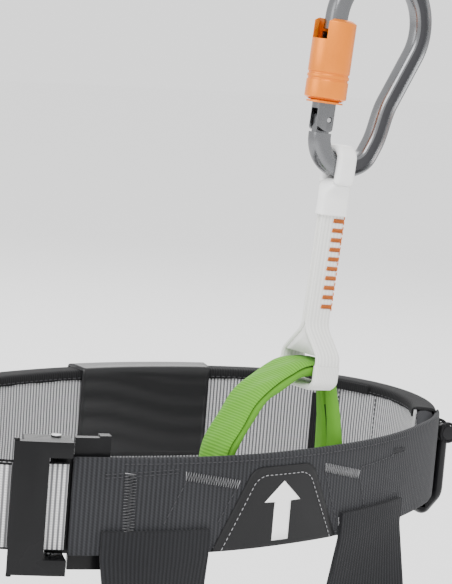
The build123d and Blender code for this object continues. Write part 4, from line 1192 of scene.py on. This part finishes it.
def addShape(piece, build):
    # joins another closed shape to a piece, made by a function of its bmesh
    shape = bmesh.new()
    shape.from_mesh(piece.data)
    build(shape)
    shape.to_mesh(piece.data)
    shape.free()
    smoothed(piece.data)
    piece.data.set_sharp_from_angle(angle=math.radians(42))


def clipExtras(shape):
    turn = Matrix((leanAcross, Vector((0, -1, 0)), leanUp)).transposed().to_4x4()
    parts = [(onClip(clip["across"], 0.01905), (0.0084, 0.0040, 0.0089)),
             (onClip(clip["across"] + 0.0006, 0.0680), (0.0044, 0.0030, 0.0040))]
    for where, size in parts:
        spot = Matrix.Translation(where) @ turn @ Matrix.Diagonal((*size, 1))
        bmesh.ops.create_cube(shape, size=1.0, matrix=spot)
    eye = Matrix.Translation(onClip(clip["across"], clip["hinge"]))
    flat = eye @ Matrix.Rotation(math.radians(90), 4, "X")
    bmesh.ops.create_cone(shape, cap_ends=True, segments=48, radius1=0.0042, radius2=0.0042, depth=0.0040,
                          matrix=flat)


# painted shade: the faces deep in the groove along the spine and bow take the darker alloy
clipBody.data.materials.append(look["grooveShadeAlloy"])
for face in clipBody.data.polygons:
    if len(face.vertices) == 4:
        step = min(face.vertices) // 64
        share = step / len(clipFrames)
        point, normal, out = clipFrames[min(step, len(clipFrames) - 1)]
        inward = abs((face.center - point).dot(normal)) < 0.0028
        if inward and 0.19 < share < 0.83 and abs((face.center - point).dot(out)) < 0.0030:
            face.material_index = 1
addShape(clipBody, clipExtras)
belongs(clipBody, "carabiner", "forged_alloy", "carabiner_body")
dressed("gateBar", "gate", "gateAlloy", 0.0004, "gate")
dressed("lockSleeve", "lock_sleeve", "orangeAlloy", 0.0009, "sleeve")
dressed("hingePin", "gate_pin", "steel", 0.0004, "carabiner")
print("carabiner made")


# lower saddle

leg = {"x": 0.106, "y": -0.006, "inner": 0.080, "middle": -0.205, "half": 0.028, "cover": 0.0894,
       "lap": 0.0046}


def legRing(name, side, section, material, steps=150):
    # closed ring round one leg: section(angle) gives (radius, height) pairs
    sections = []
    lengths = []
    for i in range(steps):
        a = 2 * math.pi * i / steps
        sections.append([Vector((side * leg["x"] + r * math.cos(a), leg["y"] + r * math.sin(a), z))
                         for r, z in section(a)])
        lengths.append(leg["cover"] * a)
    return sweepSections(name, sections, lengths, material, closed=True)


def puffed(inner, outer, puffIn, puffOut):
    # padding of a leg loop at an angle
    def section(angle):
        low = leg["middle"] - leg["half"] + 0.0003
        high = leg["middle"] + leg["half"] - 0.0003
        return paddedWalk(inner, outer, low, high, 12, lambda share, z: puffOut,
                          lambda share, z: puffIn * (1 + 0.15 * math.sin(angle * 14 + share * 5)))
    return section


def edgeTape(toward):
    # binding of a leg loop's upper or lower edge
    return lambda angle: tapeWalk(leg["inner"] - 0.00265, leg["cover"] + 0.00125, 0.0011,
                                  leg["middle"] + toward * leg["half"], toward, leg["lap"])


for side, word in ((1, "Left"), (-1, "Right")):
    low = word.lower()
    body = "leg_" + low
    pad = legRing("legPad" + word, side, puffed(leg["inner"], leg["cover"], 0.0, 0.0002), "coverCloth")
    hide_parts("leg_pad_" + low, "leg_cover_" + low)
    lining = legRing("legLining" + word, side, puffed(0.0786, 0.0805, 0.0008, 0.0), "lining")
    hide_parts("leg_lining_" + low)
    tape = joined("legBinding" + word, [legRing("legTapeA" + word, side, edgeTape(1), "blackTape"),
                                        legRing("legTapeB" + word, side, edgeTape(-1), "blackTape")])
    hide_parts("leg_binding_" + low)
    web = legRing("legWebbing" + word, side,
                  lambda a: roundedStrip(0.0931, 0.0908, leg["middle"] + 0.022, leg["middle"] - 0.022, 0.001),
                  "darkWebbing")
    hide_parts("leg_webbing_" + low)
    for piece, name in ((pad, "dark_cloth"), (lining, "mesh"), (tape, "black_tape"), (web, "dark_webbing")):
        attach(piece, body)
    dressed("legRiser" + word, "leg_riser_" + low, "darkWebbing", 0.0006, body)
    dressed("riserHanger" + word, "riser_hanger_" + low, "darkWebbing", 0.0006, "belt")
    dressed("legBuckle" + word, "leg_buckle_" + low, "blackMetal", 0.0008, body)
    route = [(side * 0.096, 0.0901, -0.0474), (side * 0.096, 0.0886, -0.163), (side * 0.096, 0.0886, -0.2008)]
    sock = pathSweep("legElastic" + word, framesAlong(filletPath(route, (0.05,), 0.002), Vector((1, 0, 0))),
                     lambda share: stripSection(0.0125, 0.0019, crown=0.0001), "blackTape")
    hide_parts("leg_elastic_" + low)
    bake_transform(sock)
print("lower saddle made")

carried = {"gate_spring": "steel", "gate_plunger": "steel", "sleeve_carrier": "orangeAlloy"}
for node, material in carried.items():
    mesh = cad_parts[node].data
    mesh.materials.clear()
    mesh.materials.append(look[material])


# floor, backdrop, light and camera

def plainFinish(name, colour, rough):
    shade = Shade(name)
    shade.paint(Base_Color=(*colour, 1.0), Roughness=rough)
    return shade.material


def stageMesh(name, points, faces, material):
    mesh = bpy.data.meshes.new(name)
    mesh.from_pydata(points, [], faces)
    mesh.materials.append(material)
    smoothed(mesh)
    linked(name, mesh)


studio = {"floor": -0.236, "reach": 8.0, "paper": (0.97, 0.97, 0.97)}
paper = plainFinish("paper", studio["paper"], 0.95)
reach = studio["reach"]
stageMesh("floor", [(x * reach, y * reach, studio["floor"]) for x, y in ((-1, -1), (1, -1), (1, 1), (-1, 1))],
          [(0, 1, 2, 3)], paper)


def softLight(name, place, target, size, power):
    data = bpy.data.lights.new(name, "AREA")
    data.shape = "RECTANGLE"
    data.size = size[0]
    data.size_y = size[1]
    data.energy = power
    lamp = bpy.data.objects.new(name, data)
    bpy.context.scene.collection.objects.link(lamp)
    lamp.location = place
    lamp.rotation_mode = "QUATERNION"
    lamp.rotation_quaternion = (Vector(target) - Vector(place)).to_track_quat("-Z", "Y")
    return lamp


softLight("keyLight", (-0.9, -0.9, 1.5), (0, 0, 0.0), (1.2, 1.2), 34)
softLight("fillLight", (-1.7, 0.5, 0.7), (0, 0, 0.05), (1.2, 1.0), 10)
softLight("backLight", (1.0, 1.5, 1.3), (0, 0, 0.0), (1.4, 1.0), 20)
world = bpy.data.worlds.new("world")
bpy.context.scene.world = world
world.use_nodes = True
backdrop = world.node_tree.nodes["Background"]
backdrop.inputs["Color"].default_value = (1.0, 1.0, 1.0, 1.0)
backdrop.inputs["Strength"].default_value = 1.55

lens = {"azimuth": math.radians(-37.718), "elevation": math.radians(8.332), "distance": 1.0901,
        "length": 120.43,
        "across": 0.029832, "up": 0.091252, "roll": math.radians(4.724)}
sight = Vector((-math.sin(lens["azimuth"]) * math.cos(lens["elevation"]),
                math.cos(lens["azimuth"]) * math.cos(lens["elevation"]), -math.sin(lens["elevation"])))
level = Vector((math.cos(lens["azimuth"]), math.sin(lens["azimuth"]), 0.0))
rising = level.cross(sight)
data = bpy.data.cameras.new("camera")
data.lens = lens["length"]
data.sensor_width = 36.0
data.clip_start = 0.05
data.clip_end = 30.0
camera = bpy.data.objects.new("camera", data)
bpy.context.scene.collection.objects.link(camera)
turned = Matrix((level, rising, -sight)).transposed() @ Matrix.Rotation(lens["roll"], 3, "Z")
stand = level * lens["across"] + rising * lens["up"] - sight * lens["distance"]
camera.matrix_world = Matrix.Translation(stand) @ turned.to_4x4()
bpy.context.scene.camera = camera
